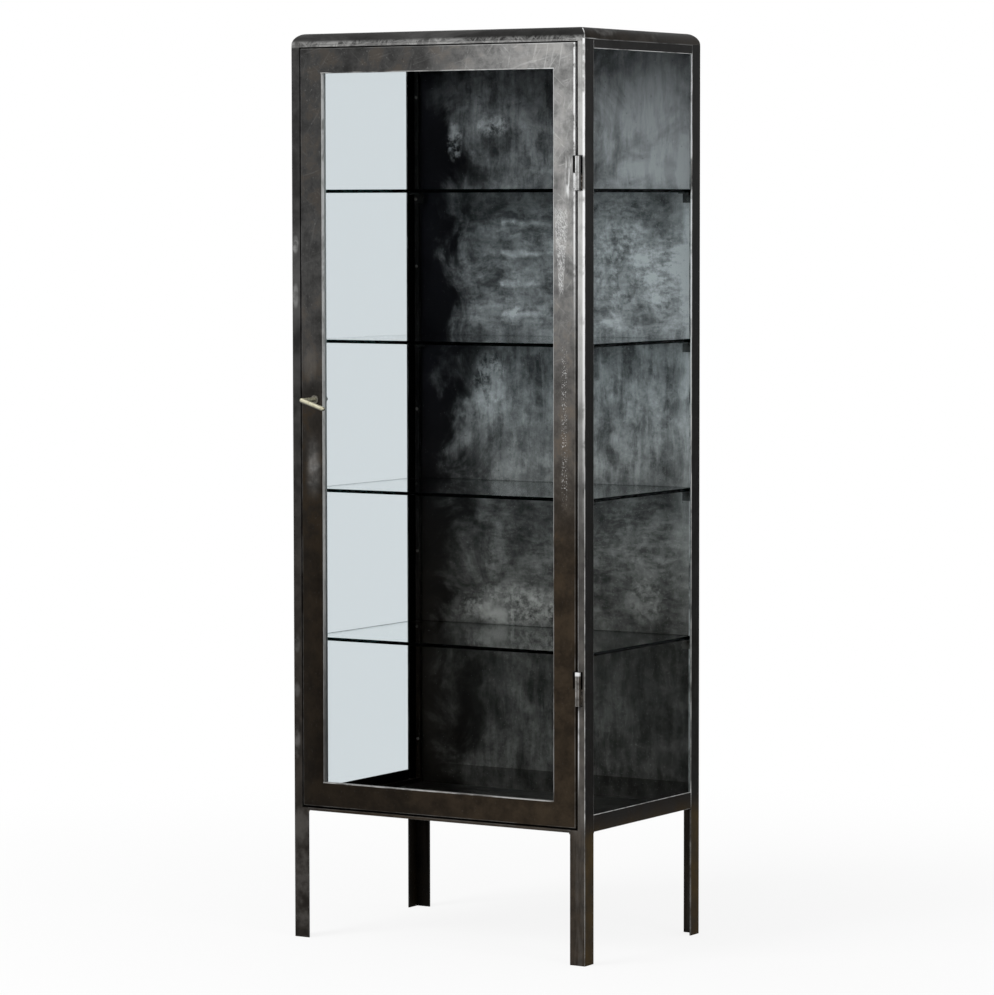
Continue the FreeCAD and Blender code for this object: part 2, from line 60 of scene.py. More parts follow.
POSTS = ("post_front_left", "post_front_right", "post_rear_left", "post_rear_right")
RAILS = ("bottom_rail_front", "bottom_rail_rear", "bottom_rail_left", "bottom_rail_right",
         "top_rail_front", "top_rail_rear", "top_rail_left", "top_rail_right")
SHEETS = ("floor_panel", "back_panel")
DOOR_BARS = ("door_stile_left", "door_stile_right", "door_rail_top", "door_rail_bottom")
PANES = ("side_glass_left", "side_glass_right", "door_glass")
SHELVES = ("shelf_1", "shelf_2", "shelf_3", "shelf_4")
BARS = ("door_stop_left", "door_stop_right", "door_stop_top", "door_stop_bottom",
        "side_beads_left", "side_beads_right", "door_beads")
BRACKETS = ("shelf_brackets_1", "shelf_brackets_2", "shelf_brackets_3", "shelf_brackets_4", "latch_keeper")
KNUCKLES = ("hinge_knuckle_fixed_lower", "hinge_knuckle_fixed_upper",
            "hinge_knuckle_door_lower", "hinge_knuckle_door_upper")
PINS = ("hinge_pin_lower", "hinge_pin_upper", "hinge_washers")
SCREWS = ("side_bead_screws_left", "side_bead_screws_right", "bracket_screws", "keeper_screws",
          "door_bead_screws", "tongue_nut")
GRIPS = ("handle_lever",)
ROSES = ("handle_rose",)
LATCHES = ("handle_spindle", "latch_tongue", "spacer_sleeve")
BEARINGS = ("spindle_bush",)

# Places on the cabinet, in metres
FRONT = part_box("post_front_left")[0].y
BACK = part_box("post_rear_left")[1].y
MIDDLE = (FRONT + BACK) / 2
SHELF_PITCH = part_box("shelf_2")[0].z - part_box("shelf_1")[0].z
SHELF_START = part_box("shelf_1")[1].z
HINGE_ZONE = (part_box("hinge_knuckle_fixed_upper")[0].z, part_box("hinge_knuckle_door_upper")[1].z)
LOW_HINGE_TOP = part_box("hinge_knuckle_door_lower")[1].z
ANGLE_WALL = 0.003

# How the packed meshes are cleaned and which of their edges are rounded
MERGE_REACH = 2e-6
FLUSH_REACH = 1e-5
FLAT_ANGLE = math.radians(0.4)
CREASE_ANGLE = math.radians(28)
EDGE_ANGLE = math.radians(35)
STRAIGHT_SHARE = 0.98
SHORTEST_EDGE = 0.004
ROUND_STEPS = 2

# Strength and depth of the relief, and the gloss of the oxide
STEEL_RELIEF = (0.2, 0.0005)
SHEET_RELIEF = (0.12, 0.0005)
SMALL_RELIEF = (0.1, 0.0002)
OXIDE_GLOSS = 0.04

# Colours of small marks, of painted highlights and of painted shade
WHITE = (1, 1, 1)
# Near-white of bright scratches and polish, also used as the painted highlight colour
POLISH_AND_HIGHLIGHT = (0.9, 0.91, 0.91)
PIT = (0.006, 0.005, 0.004)
LEG_BROWN = (0.037, 0.024, 0.009)
SHEET_BLACK = (0.003, 0.003, 0.004)
SHEET_BROWN = (0.006, 0.005, 0.004)
LOW_SMEAR = (0.56, 0.525, 0.49)
SMALL_PIT = (0.05, 0.04, 0.03)
# Painted shade where small metal faces down
UNDERSIDE_SHADE = (0.03, 0.028, 0.02)
ROSE_STEEL = (0.2, 0.19, 0.16)
BLACK_SCREW = (0.09, 0.087, 0.08)
DUST = (0.75, 0.78, 0.78)
LAMP_THROUGH_GLASS = (0.86, 0.9, 0.9)

# Low index of refraction, as the glass should show what is behind it almost in place
PANE_IOR = 1.01
SHELF_IOR = 1.08

# Turn and length of the crossing strokes of the wheel
STROKES = ((0.62, 14.0), (-0.85, 11.0), (0.2, 16.0), (1.3, 12.0))

# Scuffs down the left front post: middle and half width, then height, reach and strength of each
POST_SCUFF_X = (-0.293, 0.008)
POST_SCUFFS = ((1.231, 0.018, 0.38), (1.14, 0.025, 0.22), (0.526, 0.02, 0.1), (0.442, 0.016, 0.08),
               (0.35, 0.035, 0.1))

# Rubbed places on the back sheet: middle, reach and strength
SHEET_RUBS = (((-0.205, 1.425), (0.02, 0.045), 0.6), ((-0.12, 1.45), (0.04, 0.025), 0.8),
              ((-0.128, 0.975), (0.05, 0.08), 0.45), ((-0.06, 0.575), (0.17, 0.05), 0.45),
              ((0.15, 1.2), (0.1, 0.11), 0.4), ((0.2, 0.9), (0.08, 0.09), 0.2),
              ((0.2, 0.6), (0.05, 0.05), 0.25))

# Weld beads: how far they sit in from an edge, the seam beside a hinge, and the spread of the drops' sizes
WELD_INSET = 0.0012
HINGE_SEAM = 0.0032
DROP_SIZES = (0.72, 1.12)

# Stage: the floor, the lamps and the camera
FLOOR_REACH = 40.0
FLOOR_SHOWN = 0.86
FLOOR_CLEARS = (0.4, 2.2)
LAMP_AIM = (0, 0, 0.9)
KEY_PLACE = (-1.6, -3.6, 3.2)
KEY_SIZE = (2.2, 2.2)
FILL_PLACE = (3.6, -1.2, 2.2)
FILL_SIZE = (1.6, 2.4)
CAMERA_PLACE = (4.0414, -6.4978, 1.2997)
CAMERA_YAW = math.radians(31.79)
CAMERA_PITCH = math.radians(3.86)
CAMERA_ROLL = math.radians(-0.077)
SENSOR_WIDTH = 36.0


class SteelSettings(bpy.types.PropertyGroup):
    """Colours and edge sizes of the steel."""
    patina: bpy.props.FloatVectorProperty(
        name="Patina", description="Dark oxide colour of the bare steel", subtype="COLOR", size=3,
        default=(0.026, 0.0255, 0.025), min=0, max=1)
    warm_patina: bpy.props.FloatVectorProperty(
        name="Warm patina", description="Brown oxide colour of the lower steel", subtype="COLOR", size=3,
        default=(0.027, 0.0195, 0.0125), min=0, max=1)
    ground: bpy.props.FloatVectorProperty(
        name="Ground steel", description="Colour where the steel is ground bright", subtype="COLOR", size=3,
        default=(0.53, 0.53, 0.52), min=0, max=1)
    smear: bpy.props.FloatVectorProperty(
        name="Wiped smears", description="Colour of the wiped marks on the sheets", subtype="COLOR", size=3,
        default=(0.505, 0.508, 0.512), min=0, max=1)
    plating: bpy.props.FloatVectorProperty(
        name="Handle plating", description="Pale worn plating of the handle", subtype="COLOR", size=3,
        default=(0.66, 0.63, 0.47), min=0, max=1)
    brass: bpy.props.FloatVectorProperty(
        name="Brass", description="Turned brass of the bearings", subtype="COLOR", size=3,
        default=(0.62, 0.47, 0.22), min=0, max=1)
    angle_round: bpy.props.FloatProperty(
        name="Angle rounding", description="Rounding of the angle iron's edges", unit="LENGTH",
        default=0.0009)
    fold_round: bpy.props.FloatProperty(
        name="Fold rounding", description="Rounding of the folded door sheet", unit="LENGTH",
        default=0.0016)
    bar_round: bpy.props.FloatProperty(
        name="Bar rounding", description="Rounding of the hinge barrels' edges", unit="LENGTH",
        default=0.0004)


class GlassSettings(bpy.types.PropertyGroup):
    """Tints of the glass."""
    pane: bpy.props.FloatVectorProperty(
        name="Pane", description="Tint of the window glass", subtype="COLOR", size=3,
        default=(0.79, 0.825, 0.84), min=0, max=1)
    shelf: bpy.props.FloatVectorProperty(
        name="Shelf", description="Tint of the glass shelves", subtype="COLOR", size=3,
        default=(0.97, 0.985, 0.98), min=0, max=1)
    edge: bpy.props.FloatVectorProperty(
        name="Edge", description="Dark green tint of the cut edges", subtype="COLOR", size=3,
        default=(0.003, 0.009, 0.008), min=0, max=1)


class WeldSettings(bpy.types.PropertyGroup):
    """Sizes of the weld beads."""
    radius: bpy.props.FloatProperty(
        name="Radius", description="Radius of a weld drop", unit="LENGTH", default=0.0022)
    spacing: bpy.props.FloatProperty(
        name="Spacing", description="Distance between weld drops", unit="LENGTH", default=0.0019)
    seed: bpy.props.IntProperty(name="Seed", description="Seed of the drops' sizes", default=7)


class StageSettings(bpy.types.PropertyGroup):
    """Camera, lamps and backdrop."""
    lens: bpy.props.FloatProperty(
        name="Lens", description="Focal length of the camera", unit="CAMERA", default=156.87)
    key_power: bpy.props.FloatProperty(
        name="Key lamp", description="Power of the large front lamp", unit="POWER", default=150.0)
    fill_power: bpy.props.FloatProperty(
        name="Fill lamp", description="Power of the side lamp", unit="POWER", default=30.0)
    ambient: bpy.props.FloatProperty(
        name="Ambient", description="Strength of the room's light", subtype="FACTOR", default=0.5,
        min=0, max=1)
    floor_color: bpy.props.FloatVectorProperty(
        name="Floor", description="Colour of the floor", subtype="COLOR", size=3, default=(0.86, 0.86, 0.86))


class Value:
    """What a node puts out; sums, products and steps of it add further nodes to the same tree."""

    def __init__(self, wires, socket):
        self.wires = wires
        self.socket = socket

    def math(self, operation, other=0.5, clamp=False):
        sockets = {0: self, 1: other}
        return self.wires.made(0, "ShaderNodeMath", sockets, operation=operation, use_clamp=clamp)

    def __mul__(self, other):
        return self.math("MULTIPLY", other)

    def __truediv__(self, other):
        return self.math("DIVIDE", other)

    def __sub__(self, other):
        return self.math("SUBTRACT", other)

    def __add__(self, other):
        """Sum that stops at one, as masks need it."""
        return self.math("ADD", other, clamp=True)

    def plus(self, other):
        """Sum without a stop."""
        return self.math("ADD", other)

    def __or__(self, other):
        """The larger of two values."""
        return self.math("MAXIMUM", other)

    def __abs__(self):
        return self.math("ABSOLUTE")

    def rise(self, low, high, start=0.0, end=1.0):
        """Smooth step from start to end as the value goes from low to high."""
        sockets = {"Value": self, "From Min": low, "From Max": high, "To Min": start, "To Max": end}
        return self.wires.made("Result", "ShaderNodeMapRange", sockets, interpolation_type="SMOOTHSTEP",
                               clamp=True)

    def band(self, low, high, soft):
        """One between low and high, with soft ends."""
        return self.rise(low - soft, low + soft) * self.rise(high - soft, high + soft, 1, 0)

    def mix(self, first, second):
        """Number between two numbers, with this value as the factor."""
        return self.wires.made(0, "ShaderNodeMix", {"Factor": self, 2: first, 3: second}, data_type="FLOAT",
                               clamp_factor=True)

    def blend(self, first, second):
        """Colour between two colours, with this value as the factor."""
        return self.wires.made(2, "ShaderNodeMix", {"Factor": self, 6: first, 7: second}, data_type="RGBA",
                               clamp_factor=True)


class Wires:
    """Adds nodes to a tree and joins them; a socket takes a value or a plain number, colour or vector."""

    def __init__(self, tree):
        self.tree = tree

    def feed(self, socket, value):
        if isinstance(value, Value):
            self.tree.links.new(value.socket, socket)
        elif isinstance(value, tuple) and len(value) == 3 and len(socket.default_value) == 4:
            socket.default_value = (*value, 1)
        else:
            socket.default_value = value

    def fill(self, node, sockets):
        """Feeds a node's sockets, which are called by name or number."""
        for name, value in sockets.items():
            self.feed(node.inputs[name], value)

    def add(self, kind, sockets=None, **settings):
        node = self.tree.nodes.new(kind)
        for name, value in settings.items():
            setattr(node, name, value)
        self.fill(node, sockets or {})
        return node

    def made(self, output, kind, sockets=None, **settings):
        """New node, of which only one output is used."""
        return Value(self, self.add(kind, sockets, **settings).outputs[output])

    def all_of(self, node):
        """All that a node puts out, by name."""
        return {socket.name: Value(self, socket) for socket in node.outputs}

    def stretched(self, vector, scale):
        return self.made("Vector", "ShaderNodeMapping", {"Vector": vector, "Scale": scale})

    def laid(self, vector, turn, draw):
        """Turns the vector about Y first and then draws it out along its own Z."""
        sockets = {"Vector": vector, "Scale": (1, 1, draw), "Rotation": (0, turn, 0)}
        return self.made("Vector", "ShaderNodeMapping", sockets, vector_type="TEXTURE")

    def drifted(self, vector, scale, detail, reach):
        """Pushes the vector about by a noise."""
        sockets = {"Vector": vector, "Scale": scale, "Detail": detail}
        sockets = {0: self.made("Color", "ShaderNodeTexNoise", sockets), 1: reach, 2: vector}
        return self.made(0, "ShaderNodeVectorMath", sockets, operation="MULTIPLY_ADD")

    def noise(self, vector, scale, detail=3.0, roughness=0.55, twist=0.0):
        sockets = {"Vector": vector, "Scale": scale, "Detail": detail, "Roughness": roughness,
                   "Distortion": twist}
        return self.made("Fac", "ShaderNodeTexNoise", sockets)

    def parted(self, vector):
        """X, Y and Z of a vector."""
        return self.all_of(self.add("ShaderNodeSeparateXYZ", {0: vector})).values()

    def place(self):
        return self.made("Object", "ShaderNodeTexCoord")

    def facing(self):
        """X, Y and Z of the surface's normal."""
        return self.parted(self.made("Normal", "ShaderNodeTexCoord"))

    def swapped(self, factor, shader, other):
        """Shader that gives way to another one, by a factor."""
        sockets = {0: factor, 1: Value(self, shader.outputs["BSDF"]), 2: other}
        return self.made(0, "ShaderNodeMixShader", sockets)


def shader_group(title, inputs, outputs):
    """Lets a builder fill a shader group at its first use; each use places the group in a tree."""
    def wrapped(build):
        def new_tree():
            tree = bpy.data.node_groups.new(title, "ShaderNodeTree")
            for label, kind, value in inputs:
                socket = tree.interface.new_socket(label, in_out="INPUT", socket_type="NodeSocket" + kind)
                if value is not None:
                    socket.default_value = value
            for label, kind in outputs:
                tree.interface.new_socket(label, in_out="OUTPUT", socket_type="NodeSocket" + kind)
            wires = Wires(tree)
            given = wires.all_of(wires.add("NodeGroupInput"))
            wires.add("NodeGroupOutput", build(wires, given))
            return tree

        def placed(wires, **values):
            tree = bpy.data.node_groups.get(title) or new_tree()
            sockets = {name.capitalize(): value for name, value in values.items()}
            made = wires.all_of(wires.add("ShaderNodeGroup", sockets, node_tree=tree))
            return made if len(outputs) > 1 else made[outputs[0][0]]
        return placed
    return wrapped


@shader_group("Brushed grain",
              [("Vector", "Vector", None), ("Stretch", "Vector", (1, 1, 1)), ("Scale", "Float", 100.0),
               ("Low", "Float", 0.35), ("High", "Float", 0.65)],
              [("Grain", "Float")])
def brushed_grain(wires, given):
    """Fine lines drawn out along the directions with a small stretch."""
    drawn = wires.made(0, "ShaderNodeVectorMath", {0: given["Vector"], 1: given["Stretch"]},
                       operation="MULTIPLY")
    lines = wires.noise(drawn, given["Scale"], 4.0, 0.65)
    return {"Grain": lines.rise(given["Low"], given["High"])}


@shader_group("Wiped smears",
              [("Vector", "Vector", None), ("Scale", "Float", 6.0), ("Twist", "Float", 0.25),
               ("Low", "Float", 0.4), ("High", "Float", 0.75)],
              [("Smear", "Float")])
def wiped_smears(wires, given):
    """Soft curling marks, as a cloth or a wheel leaves them."""
    moved = wires.drifted(given["Vector"], given["Scale"], 1.0, given["Twist"])
    cloud = wires.noise(moved, given["Scale"], 6.0, 0.62, 0.6)
    return {"Smear": cloud.rise(given["Low"], given["High"])}


@shader_group("Worn edges",
              [("Vector", "Vector", None), ("Edge", "Float", 0.0), ("Amount", "Float", 1.0)],
              [("Wear", "Float")])
def worn_edges(wires, given):
    """Rounded edges rubbed bright in uneven runs."""
    patchy = wires.noise(given["Vector"], 16.0, 5.0, 0.7).rise(0.36, 0.6, 0.12, 1.0)
    return {"Wear": given["Edge"] * patchy * given["Amount"]}


@shader_group("Ground strokes",
              [("Vector", "Vector", None), ("Scale", "Float", 60.0), ("Low", "Float", 0.52),
               ("High", "Float", 0.7)],
              [("Strokes", "Float")])
def ground_strokes(wires, given):
    """Crossing scratches of a coarse wheel."""
    made = None
    for turn, draw in STROKES:
        lines = wires.noise(wires.laid(given["Vector"], turn, draw), given["Scale"], 3.0, 0.7)
        lines = lines.rise(given["Low"], given["High"])
        made = lines if made is None else made | lines
    return {"Strokes": made}


@shader_group("Bright curls", [("Vector", "Vector", None), ("Scale", "Float", 20.0)], [("Curls", "Float")])
def bright_curls(wires, given):
    """Thin bright ridges that curl and break off."""
    sockets = {"Vector": given["Vector"], "Scale": given["Scale"], "Detail": 3.0, "Roughness": 0.55,
               "Offset": 0.9, "Gain": 1.6, "Distortion": 0.5}
    ridges = wires.made("Fac", "ShaderNodeTexNoise", sockets, noise_type="RIDGED_MULTIFRACTAL",
                        normalize=True)
    broken = wires.noise(given["Vector"], given["Scale"], 2.0).rise(0.4, 0.62)
    return {"Curls": ridges.rise(0.5, 0.95) * broken}


@shader_group("Pits and specks", [("Vector", "Vector", None), ("Scale", "Float", 130.0)],
              [("Pits", "Float"), ("Specks", "Float")])
def pits_and_specks(wires, given):
    """Small dark pits and pale specks in the oxide."""
    fine = wires.noise(given["Vector"], given["Scale"], 3.0, 0.6)
    other = wires.noise(wires.stretched(given["Vector"], (1.3, 1.3, 1.1)), given["Scale"], 2.0, 0.6)
    return {"Pits": fine.rise(0.34, 0.24), "Specks": other.rise(0.66, 0.76)}


@shader_group("Steel layers",
              [("Patina", "Color", None), ("Warm", "Color", None), ("Ground", "Color", None),
               ("Warmth", "Float", 0.0), ("Bare", "Float", 0.0), ("Pits", "Float", 0.0),
               ("Cloud", "Float", 0.5), ("Shade", "Float", 1.0), ("Shine", "Float", 0.0),
               ("Dull", "Float", 0.0)],
              [("Color", "Color"), ("Metallic", "Float"), ("Roughness", "Float")])
def steel_layers(wires, given):
    """Oxide, brown oxide and bare ground steel laid over one another by masks. In some finishes the bare
    mask also carries painted light; Shade darkens the oxide as painted shade, Shine blends towards a
    near-white for bright scratches and painted highlights, and Dull takes the metal off where the finishes
    paint light.
    """
    oxide = given["Warmth"].blend(given["Patina"], given["Warm"])
    value = given["Cloud"].rise(0.3, 0.7, 0.55, 1.5) * given["Shade"]
    clouded = wires.made("Color", "ShaderNodeHueSaturation", {"Color": oxide, "Value": value})
    layered = given["Bare"].blend(clouded, given["Ground"])
    polish_and_sheen = given["Shine"].blend(layered, POLISH_AND_HIGHLIGHT)
    return {"Color": (given["Pits"] * 0.5).blend(polish_and_sheen, PIT),
            "Metallic": (given["Bare"] | given["Shine"]) * given["Dull"].mix(0.85, 0.0),
            "Roughness": given["Bare"].mix(0.5, 0.36) + given["Cloud"].rise(0.3, 0.7, -0.06, 0.1)}


def finish(build):
    """Lets a builder wire a finish at its first use and hands out the same material afterwards.

    The builder gets the wires and a Principled shader, and may give back another shader to show.
    """
    def found(name, *settings, **choices):
        title = "finish_" + name
        material = bpy.data.materials.get(title)
        if material is None:
            material = bpy.data.materials.new(title)
            material.use_nodes = True
            material.node_tree.nodes.clear()
            wires = Wires(material.node_tree)
            shader = wires.add("ShaderNodeBsdfPrincipled")
            shown = build(wires, shader, *settings, **choices) or Value(wires, shader.outputs["BSDF"])
            wires.add("ShaderNodeOutputMaterial", {"Surface": shown})
        return material
    return found


def add_relief(wires, shader, height, relief):
    strength, depth = relief
    sockets = {"Strength": strength, "Distance": depth, "Height": height}
    wires.fill(shader, {"Normal": wires.made("Normal", "ShaderNodeBump", sockets)})


def steel_surface(wires, shader, steel, height, **masks):
    """Joins the steel layers, with the given masks, and a relief to a shader."""
    given = {"patina": tuple(steel.patina), "warm": tuple(steel.warm_patina), "ground": tuple(steel.ground)}
    given.update(masks)
    layers = steel_layers(wires, **given)
    wires.fill(shader, {"Base Color": layers["Color"], "Metallic": layers["Metallic"],
                        "Roughness": layers["Roughness"], "Specular IOR Level": OXIDE_GLOSS})
    add_relief(wires, shader, height, STEEL_RELIEF)


def wear_of(wires, vector, amount):
    """Wear on the edges that were rounded."""
    edge = wires.made("Fac", "ShaderNodeAttribute", attribute_name="worn_edge")
    return worn_edges(wires, vector=vector, edge=edge, amount=amount)


def soft_spot(place, middle, reach):
    """One at a place, given by x and z, and fading to nothing at its reach."""
    across, up = ((value - centre) / half for value, centre, half in zip(place, middle, reach))
    return (across * across).plus(up * up).rise(1.0, 0.1)


@finish
def frame_steel(wires, shader, steel, stretch):
    """Angle iron: dark oxide, brown low down, with the front faces ground bright towards the upper right,
    that brightening partly painted light; painted shade on the inner and side faces, and painted highlights
    along the right corner.
    """
    vector = wires.place()
    x, y, z = wires.parted(vector)
    face_x, face_y, _ = wires.facing()
    cloud = wires.noise(vector, 22.0, 6.0, 0.62)
    grain = brushed_grain(wires, vector=vector, stretch=stretch, scale=260.0)
    streaks = brushed_grain(wires, vector=vector, stretch=(1, 1, 0.1), scale=110.0)
    strokes = ground_strokes(wires, vector=vector, scale=90.0, low=0.5, high=0.66)
    spots = pits_and_specks(wires, vector=vector, scale=260.0)
    to_front = face_y.rise(-0.5, -0.85)
    outward = face_x.rise(0.5, 0.85)
    to_right = x.rise(-0.25, 0.28)
    hinge_side = x.rise(0.26, 0.29)
    left_front = x.rise(-0.2, -0.27) * y.rise(FRONT + 0.1, FRONT + 0.05)
    up_high = z.rise(0.7, 1.28)
    head = z.rise(1.574, 1.577)
    leg = z.rise(0.25, 0.22)
    # Painted shadow of the upper hinge barrel on the post beside it
    hinge_shadow = z.band(*HINGE_ZONE, 0.004)

    # Bare steel: ground faces that grow brighter towards the upper right, partly as painted light, worn
    # edges and the scuffs of the left post; the header's scuffs brighten to the right as painted light
    body = (up_high * 0.82 + 0.1) * to_right * leg.mix(1.0, 0.15)
    header_scuffs_and_light = strokes * 0.35 + to_right.mix(0.12, 0.26)
    rubbed = (head.mix(body, header_scuffs_and_light) * to_front * cloud.rise(0.3, 0.65, 0.62, 1.2) * grain.mix(0.88, 1.06)
              * (hinge_shadow * to_right).mix(1.0, 0.2))
    below_roof = z.rise(1.572, 1.567)
    sill_line = z.band(0.252, 0.262, 0.003) * hinge_side * 0.5
    wear = wear_of(wires, vector, (hinge_side * below_roof * 0.5 + sill_line + 0.14) * leg.mix(1.0, 0.45))
    leg_pallor = x.rise(0.272, 0.283) * streaks * 0.045 | left_front * cloud.rise(0.4, 0.62) * 0.045
    dulled = z.band(1.1, 1.25, 0.03) * left_front * 0.04
    patchy = cloud.rise(0.35, 0.6)
    middle_x, half_x = POST_SCUFF_X
    for height, reach, strength in POST_SCUFFS:
        dulled += soft_spot((x, z), (middle_x, height), (half_x, reach)) * patchy * strength
    bare = rubbed + wear + (dulled + leg * leg_pallor) * to_front + spots["Specks"] * 0.06

    # Painted highlights, partly on worn edges: bright lines at the right corner, at the inner edge low down
    # and along the edges of the hinge side, dimmed in the painted shadow of the upper hinge
    corner = x.rise(0.2945, 0.2965) * up_high * cloud.rise(0.36, 0.5)
    inner_run = x.band(0.284, 0.2885, 0.001) * z.band(0.33, 0.45, 0.05) * cloud.rise(0.3, 0.5) * 0.6
    edges = wear * hinge_side * up_high.mix(0.35, 1.0)
    shine = ((corner | inner_run) * to_front | edges) * hinge_shadow.mix(1.0, 0.1)

    # Painted shade: darker on the inner faces of the angles and on the outer side faces, lighter higher up;
    # the oxide browner below
    across = face_x * x * -1.0
    through = face_y * (y - MIDDLE) * -1.0
    inside = across.rise(0.05, 0.15) | through.rise(0.05, 0.12)
    far_back = y.rise(MIDDLE, MIDDLE + 0.1)
    inner_shade = inside * to_right.mix(1.0, 0.25) * (far_back | leg)
    beside = outward * x.rise(0.0, 0.1) * z.rise(0.2, 0.27)
    shade = inner_shade.mix(1.0, 0.1) * beside.mix(1.0, z.rise(0.7, 1.5, 0.08, 0.46)) * z.rise(0.4, 1.5, 0.8, 1.2)
    low_down = z.rise(1.1, 0.3) * left_front.mix(1.0, 0.45)
    brown = (leg * outward).blend(tuple(steel.warm_patina), LEG_BROWN)
    steel_surface(wires, shader, steel, grain.plus(cloud), warmth=low_down, bare=bare, pits=spots["Pits"],
                  cloud=cloud, shade=shade, shine=shine, warm=brown)


@finish
def roof_steel(wires, shader, steel):
    """Pressed roof sheet: even dark oxide with long wiped marks, stronger along the crown of the right roll
    partly as a painted highlight, scuffs in front and a painted highlight on the worn edges at a corner.
    """
    vector = wires.place()
    x, y, z = wires.parted(vector)
    face_x, face_y, _ = wires.facing()
    cloud = wires.noise(vector, 11.0, 6.0, 0.62)
    grain = brushed_grain(wires, vector=vector, stretch=(0.08, 0.5, 1), scale=200.0)
    strokes = ground_strokes(wires, vector=vector, scale=90.0, low=0.48, high=0.64)
    smear = wiped_smears(wires, vector=wires.stretched(vector, (0.35, 0.6, 1)), scale=12.0, twist=0.08,
                         low=0.5, high=0.74)
    spots = pits_and_specks(wires, vector=vector, scale=260.0)
    # Painted highlight on the worn edges of the near corner
    near_corner = x.rise(0.25, 0.28) * y.rise(FRONT + 0.05, FRONT + 0.02)
    wear = wear_of(wires, vector, near_corner.mix(0.1, 0.9))
    low_roll = z.rise(1.588, 1.582) * face_y.rise(-0.4, -0.85)
    # Painted highlight, partly a real smear: the wiped marks are stronger along the crown of the right roll
    crown = x.rise(0.27, 0.285) * z.band(1.587, 1.596, 0.003)
    scuffs = low_roll * (strokes * 0.36 + smear * 0.3)
    bare = smear * crown.mix(0.1, 0.4) + scuffs + wear + spots["Specks"] * 0.05
    steel_surface(wires, shader, steel, grain.plus(cloud), warmth=face_x.rise(0.3, 0.9, 0.0, 0.5), bare=bare,
                  pits=spots["Pits"], cloud=cloud, shade=0.85, shine=wear * near_corner)


@finish
def door_steel(wires, shader, steel, stretch):
    """Folded door frame: brown oxide at the foot, scratched silver towards the upper hinge corner, that
    silver partly painted light; painted shade darkens it to the left and lower down, and painted highlights
    lie on the hinged edge and the sides of the opening.
    """
    vector = wires.place()
    x, _, z = wires.parted(vector)
    face_x, _, face_z = wires.facing()
    cloud = wires.noise(vector, 24.0, 7.0, 0.66)
    grain = brushed_grain(wires, vector=vector, stretch=stretch, scale=300.0)
    strokes = ground_strokes(wires, vector=vector, scale=170.0, low=0.6, high=0.7)
    spots = pits_and_specks(wires, vector=vector, scale=240.0)
    smear = wiped_smears(wires, vector=vector, scale=20.0, twist=0.05, low=0.42, high=0.7)
    chips = wires.noise(wires.laid(vector, -0.45, 3.0), 620.0, 4.0, 0.7)
    dots = wires.noise(vector, 520.0, 2.0)
    to_right = x.rise(-0.1, 0.22)
    up_high = z.rise(0.87, 1.42)
    top_rail = z.rise(1.52, 1.55)
    across = top_rail.mix(to_right, x.rise(-0.06, 0.26))

    # Silver of the upper right, partly painted light, and the rubs by the handle
    silver = up_high * across.mix(0.03, 0.43) + z.band(0.8, 1.0, 0.08) * to_right * 0.06
    below_handle = z.band(0.805, 0.875, 0.035) * x.band(-0.266, -0.246, 0.01) * smear.mix(0.1, 0.25)
    above_handle = z.band(1.0, 1.27, 0.05) * 0.028 + soft_spot((x, z), (-0.263, 1.02), (0.018, 0.04)) * 0.03
    left_rub = below_handle + above_handle * x.rise(-0.2, -0.24)
    mottled = (silver + left_rub) * cloud.rise(0.32, 0.66, 0.45, 1.3) * grain.mix(0.9, 1.05)

    # Scrapes and chips down the hinge stile
    seam_share = abs(x - 0.253) / z.rise(1.148, 1.288, 0.005, 0.014)
    scraped = seam_share.rise(1.1, 0.7) * z.band(1.153, 1.293, 0.012)
    chip_trail = x.band(0.2545, 0.2645, 0.002) * z.band(0.8, 1.05, 0.03)
    by_hinge = x.band(0.262, 0.274, 0.003) * z.band(1.315, 1.375, 0.012)
    scratches = strokes * (up_high * across.mix(0.03, 0.22) + scraped * 0.3)
    wiped = smear * up_high * across.mix(0.01, 0.16)
    keen = (chips.rise(0.38, 0.68) * scraped * 0.5 + dots.rise(0.58, 0.68) * chip_trail * 0.45
            + grain.rise(0.5, 0.9) * by_hinge * 0.7)

    # Worn edges, painted light on the two sides of the opening, and a painted highlight on the hinged edge
    left_reveal = face_x.rise(0.6, 0.9) * x.rise(-0.2, -0.22) * z.rise(0.35, 0.7, 0.3, 1.0)
    low_reveal = face_z.rise(0.6, 0.9) * z.rise(0.31, 0.29) * 0.5
    lit_reveal = left_reveal | low_reveal
    opening = x.band(-0.25, 0.25, 0.004) * z.band(0.27, 1.55, 0.01)
    worn_most = opening | to_right * up_high
    wear = wear_of(wires, vector, worn_most.mix(0.12, top_rail.mix(0.75, 0.3)))
    hung_edge_highlight = x.rise(0.2768, 0.2785) * z.rise(1.05, 1.35) * cloud.rise(0.36, 0.5)

    bare = (mottled + scratches + wiped + wear + lit_reveal * cloud.rise(0.3, 0.6, 0.6, 1.0)
            + spots["Specks"] * up_high.mix(0.03, 0.14))
    shine = (hung_edge_highlight | wear * to_right * up_high) + keen + lit_reveal * up_high * cloud.rise(0.4, 0.55) * 0.6
    low_down = z.rise(1.25, 0.55) + cloud.rise(0.5, 0.62, 0.0, 0.6)
    # Painted shade: darker to the left and lower down
    shade = x.rise(-0.28, 0.28, 0.46, 1.15) * z.rise(0.6, 1.0, 0.76, 1.5)
    steel_surface(wires, shader, steel, grain.plus(strokes), warmth=low_down, bare=bare, pits=spots["Pits"],
                  cloud=cloud, shade=shade, shine=shine, dull=lit_reveal)


